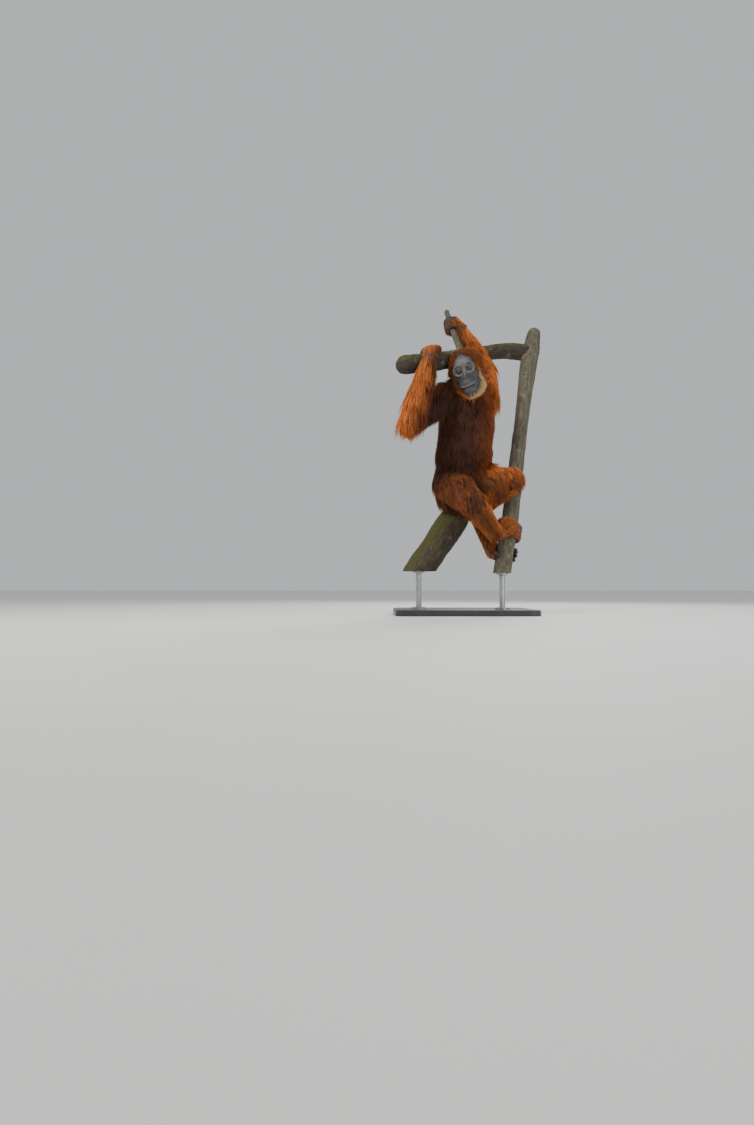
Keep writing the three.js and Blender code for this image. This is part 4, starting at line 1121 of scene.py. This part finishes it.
def make_eye(side, sign, material):
    rows, columns = 41, 48
    tilt = np.repeat(np.arange(rows) * math.pi / (rows - 1), columns)
    turn = np.tile(np.arange(columns) * 2 * math.pi / columns, rows)
    D = np.stack([np.sin(tilt) * np.cos(turn), -np.cos(tilt), np.sin(tilt) * np.sin(turn)], 1)
    off = np.degrees(np.arccos(np.clip(-D[:, 1], -1, 1)))
    radius = EYE_RADIUS - 0.35 + 0.7 * step_up(34, 8, off)
    tone = mixed(at(0.03, 0.02, 0.016), at(0.045, 0.018, 0.008), step_up(41, 36, off))
    tone = mixed(tone, at(0.004, 0.003, 0.003), step_up(19, 16, off))
    place = from_head(D * radius[:, None] + at(sign * EYE_APART, EYE_FORWARD, 0))
    mesh = mesh_from(f"eyeball_{side}", place, sheet_faces(rows, columns, True))
    paint(mesh, "tone", tone)
    weld(mesh)
    add_piece(f"eyeball_{side}", mesh, material, (f"eye_{side}",))


def weld(mesh):
    with editing(mesh) as shape:
        bmesh.ops.remove_doubles(shape, verts=shape.verts, dist=1e-6)
        bmesh.ops.recalc_face_normals(shape, faces=shape.faces)


# Nails on every finger and toe


def make_nails():
    rows, columns = 7, 9
    area = rows * columns
    u, v = (a.ravel() for a in np.meshgrid(np.linspace(0, 1, rows), np.linspace(-1, 1, columns), indexing="ij"))
    sheet = np.array(sheet_faces(rows, columns, False))
    rim = [(0, j) for j in range(columns)] + [(i, columns - 1) for i in range(1, rows)]
    rim += [(rows - 1, j) for j in range(columns - 2, -1, -1)] + [(i, 0) for i in range(rows - 2, 0, -1)]
    a = np.array([i * columns + j for i, j in rim])
    b = np.roll(a, -1)
    nail = np.concatenate([sheet, sheet[:, ::-1] + area, np.stack([a, a + area, b + area, b], 1)])
    points, faces = [], []
    for (tip, radius), (before, _), wrap, angle, shift in (tip for grip in GRIPS for tip in grip["tips"]):
        outward = unit(wrap(angle, shift, 40) - wrap(angle, shift, 0))
        onward = unit(tip - before)
        across = unit(np.cross(onward, outward))
        outward = np.cross(across, onward)
        bow = radius * 0.78 * v * (1 - 0.25 * u * u)
        rise = np.sqrt(np.maximum(radius**2 - bow**2, 0)) - 0.42 * radius * u * u
        flat = tip + np.outer(radius * (-0.35 + 1.45 * u), onward) + np.outer(bow, across)
        faces.append(nail + area * len(points))
        points += [flat + np.outer(rise + height, outward) for height in (0.75, -0.15)]
    mesh = mesh_from("nails", np.concatenate(points), np.concatenate(faces))
    weld(mesh)
    nodes = Nodes("nail_horn", 0.35)
    grain = nodes.ramp(nodes.noise(400, 3), [(0.3, (0.02, 0.014, 0.011)), (0.75, (0.05, 0.034, 0.026))])
    material = nodes.finish(grain, nodes.bump(nodes.noise(1200, 2), 0.2, 0.0004))
    add_piece("nails", mesh, material)


# Stems, with bark that swells and cracks


def ripple_on(P, scale, seed):
    """Smooth noise from sums of turned waves."""
    draw = np.random.default_rng(seed)
    total = np.zeros(len(P))
    for i in range(9):
        wave = unit(draw.normal(size=3)) / scale * (0.6 + 0.25 * i)
        total += np.sin(P @ wave * 2 * math.pi + draw.uniform(0, 6.28)) / (1 + 0.3 * i)
    return total / 3


def rounded_end(section, way):
    middle, tangent, across, radius = section
    curve = [(0.5, 0.86), (0.86, 0.5), (1.0, 0.05)]
    return [(middle + way * tangent * radius * out, tangent, across, radius * size) for out, size in curve]


def make_stem(node, stem, sides, spacing, depth, material, flat_cut, seed):
    points = [s[0] for s in stem]
    coarse = [curve_point(points, i / 300) for i in range(301)]
    run = sum(np.linalg.norm(b - a) for a, b in zip(coarse, coarse[1:]))
    steps = int(run / spacing)
    across = unit(np.cross(curve_tangent(points, 0), at(0.2, 1, 0.1)))
    last = len(stem) - 1
    sections = []
    for i in range(steps + 1):
        t = i / steps
        middle, tangent = curve_point(points, t), curve_tangent(points, t)
        across = unit(across - tangent * (across @ tangent))
        index = min(int(t * last), last - 1)
        share = t * last - index
        radius = stem[index][1] * (1 - share) + stem[index + 1][1] * share
        sections.append((middle, tangent, across, radius))
    start = [] if flat_cut else rounded_end(sections[0], -1)[::-1]
    sections = start + sections + rounded_end(sections[-1], 1)
    turn = np.arange(sides) * 2 * math.pi / sides
    rings = []
    for middle, tangent, across, radius in sections:
        out = np.cos(turn)[:, None] * across + np.sin(turn)[:, None] * np.cross(tangent, across)
        rings.append(middle + out * radius)
    P = np.concatenate(rings)
    middles = np.repeat([section[0] for section in sections], sides, axis=0)
    out = unit(P - middles)
    run_at = np.repeat(np.linspace(0, run, len(sections)), sides)
    turn_at = np.tile(turn, len(sections))
    grain = np.stack([np.cos(turn_at), np.sin(turn_at), run_at / 190], 1)
    swell = ripple_on(P, 160, seed) * 0.5 + ripple_on(P, 42, seed + 1) * 0.35
    cracks = -np.abs(ripple_on(P * [1, 1, 0.35], 13, seed + 2)) * 0.5
    P = P + out * (depth * (swell + cracks))[:, None]
    mesh = mesh_from(node, P, sheet_faces(len(rings), sides, True))
    paint(mesh, "grain", grain)
    paint(mesh, "top", np.repeat(step_up(-0.2, 0.8, out[:, 2])[:, None], 3, axis=1))
    with editing(mesh) as shape:
        if flat_cut:
            everything = shape.verts[:] + shape.edges[:] + shape.faces[:]
            level = (0, 0, (stem[0][0][2] + flat_cut) * MM)
            bmesh.ops.bisect_plane(shape, geom=everything, plane_co=level, plane_no=(0, 0, 1), clear_inner=True)
        bmesh.ops.holes_fill(shape, edges=[e for e in shape.edges if e.is_boundary], sides=0)
        bmesh.ops.recalc_face_normals(shape, faces=shape.faces)
    mesh.polygons.foreach_set("use_smooth", np.full(len(mesh.polygons), True))
    return add_piece(node + "_bark", mesh, material, (node,))


def make_perch():
    green = (0.10, 0.105, 0.024)
    dark = bark_material("bark_dark", (0.022, 0.016, 0.011), (0.085, 0.064, 0.042), green, 0.26)
    grey = bark_material("bark_grey", (0.06, 0.052, 0.034), (0.21, 0.19, 0.128), (0.12, 0.13, 0.04), 0.12)
    moss = (0.105, 0.105, 0.024)
    mossy = bark_material("bark_mossy", (0.03, 0.022, 0.013), (0.10, 0.078, 0.045), moss, 0.45)
    make_stem("perch_level_stem", LEVEL_STEM, 56, 6, 4.0, dark, None, 3)
    make_stem("perch_upright_stem", UPRIGHT_STEM, 36, 5, 1.6, grey, None, 9)
    make_stem("perch_sapling", SAPLING, 56, 6, 2.6, grey, SAPLING_CUT, 15)
    make_stem("perch_seat_stem", SEAT_STEM, 72, 6, 5.0, mossy, SEAT_CUT, 21)


def dress_stand():
    paint_black = stand_material("stand_paint", (0.03, 0.03, 0.033), 0.42, 0.0, 14)
    steel = stand_material("stand_steel", (0.42, 0.42, 0.43), 0.32, 1.0, 30)
    dressing = {"stand_base": paint_black, "stand_rod_front": steel, "stand_rod_side": steel}
    for name, material in dressing.items():
        data = bpy.data.objects[name].data
        data.materials.clear()
        data.materials.append(material)


# Camera, floor and light


def make_camera():
    data = bpy.data.cameras.new("camera")
    camera = bpy.data.objects.new("camera", data)
    bpy.context.scene.collection.objects.link(camera)
    camera.location = (-0.3995, -3.5023, 0.12)
    camera.rotation_euler = (math.radians(92), 0, 0)
    data.lens = 24
    data.sensor_width = 36
    data.clip_start, data.clip_end = 0.05, 200
    bpy.context.scene.camera = camera


FLOOR_HALF = 40000


def make_floor():
    corners = [(x * FLOOR_HALF, y * FLOOR_HALF, 0) for x, y in ((-1, -1), (1, -1), (1, 1), (-1, 1))]
    mesh = mesh_from("floor", corners, [(0, 1, 2, 3)], False)
    nodes = Nodes("floor_pale", 0.75)
    tint = nodes.ramp(nodes.noise(2.5, 3), [(0.3, (0.76, 0.76, 0.75)), (0.7, (0.8, 0.8, 0.79))])
    mesh.materials.append(nodes.finish(tint))
    floor = bpy.data.objects.new("floor", mesh)
    bpy.context.scene.collection.objects.link(floor)


def add_light(name, place, aim_height, size, power, colour):
    data = bpy.data.lights.new(name, "AREA")
    data.shape, data.size, data.energy, data.color = "DISK", size, power, colour
    light = bpy.data.objects.new(name, data)
    bpy.context.scene.collection.objects.link(light)
    light.location = place
    toward = unit(at(0, 0, aim_height) - at(*place))
    light.rotation_euler = (math.acos(-toward[2]), 0, math.atan2(toward[1], toward[0]) - math.pi / 2)


def make_lights():
    world = bpy.data.worlds.new("studio")
    world.use_nodes = True
    background = world.node_tree.nodes["Background"]
    background.inputs["Color"].default_value = (0.9, 0.92, 0.94, 1)
    background.inputs["Strength"].default_value = 0.62
    bpy.context.scene.world = world
    add_light("key", (-1.9, -2.2, 2.9), 0.95, 1.4, 95, (1.0, 0.96, 0.9))
    add_light("fill", (2.2, -2.4, 1.2), 0.9, 2.0, 38, (0.93, 0.97, 1.0))
    add_light("rim", (0.9, 2.4, 2.6), 1.0, 1.2, 80, (1.0, 0.97, 0.92))


make_camera()
make_floor()
make_lights()
skin = make_skin(Grid(5.0, 12.0))
make_coat(skin, Grid(8.0, 70.0))
wet = eye_material()
for side, sign in SIDES.items():
    make_eye(side, sign, wet)
make_nails()
make_perch()
dress_stand()
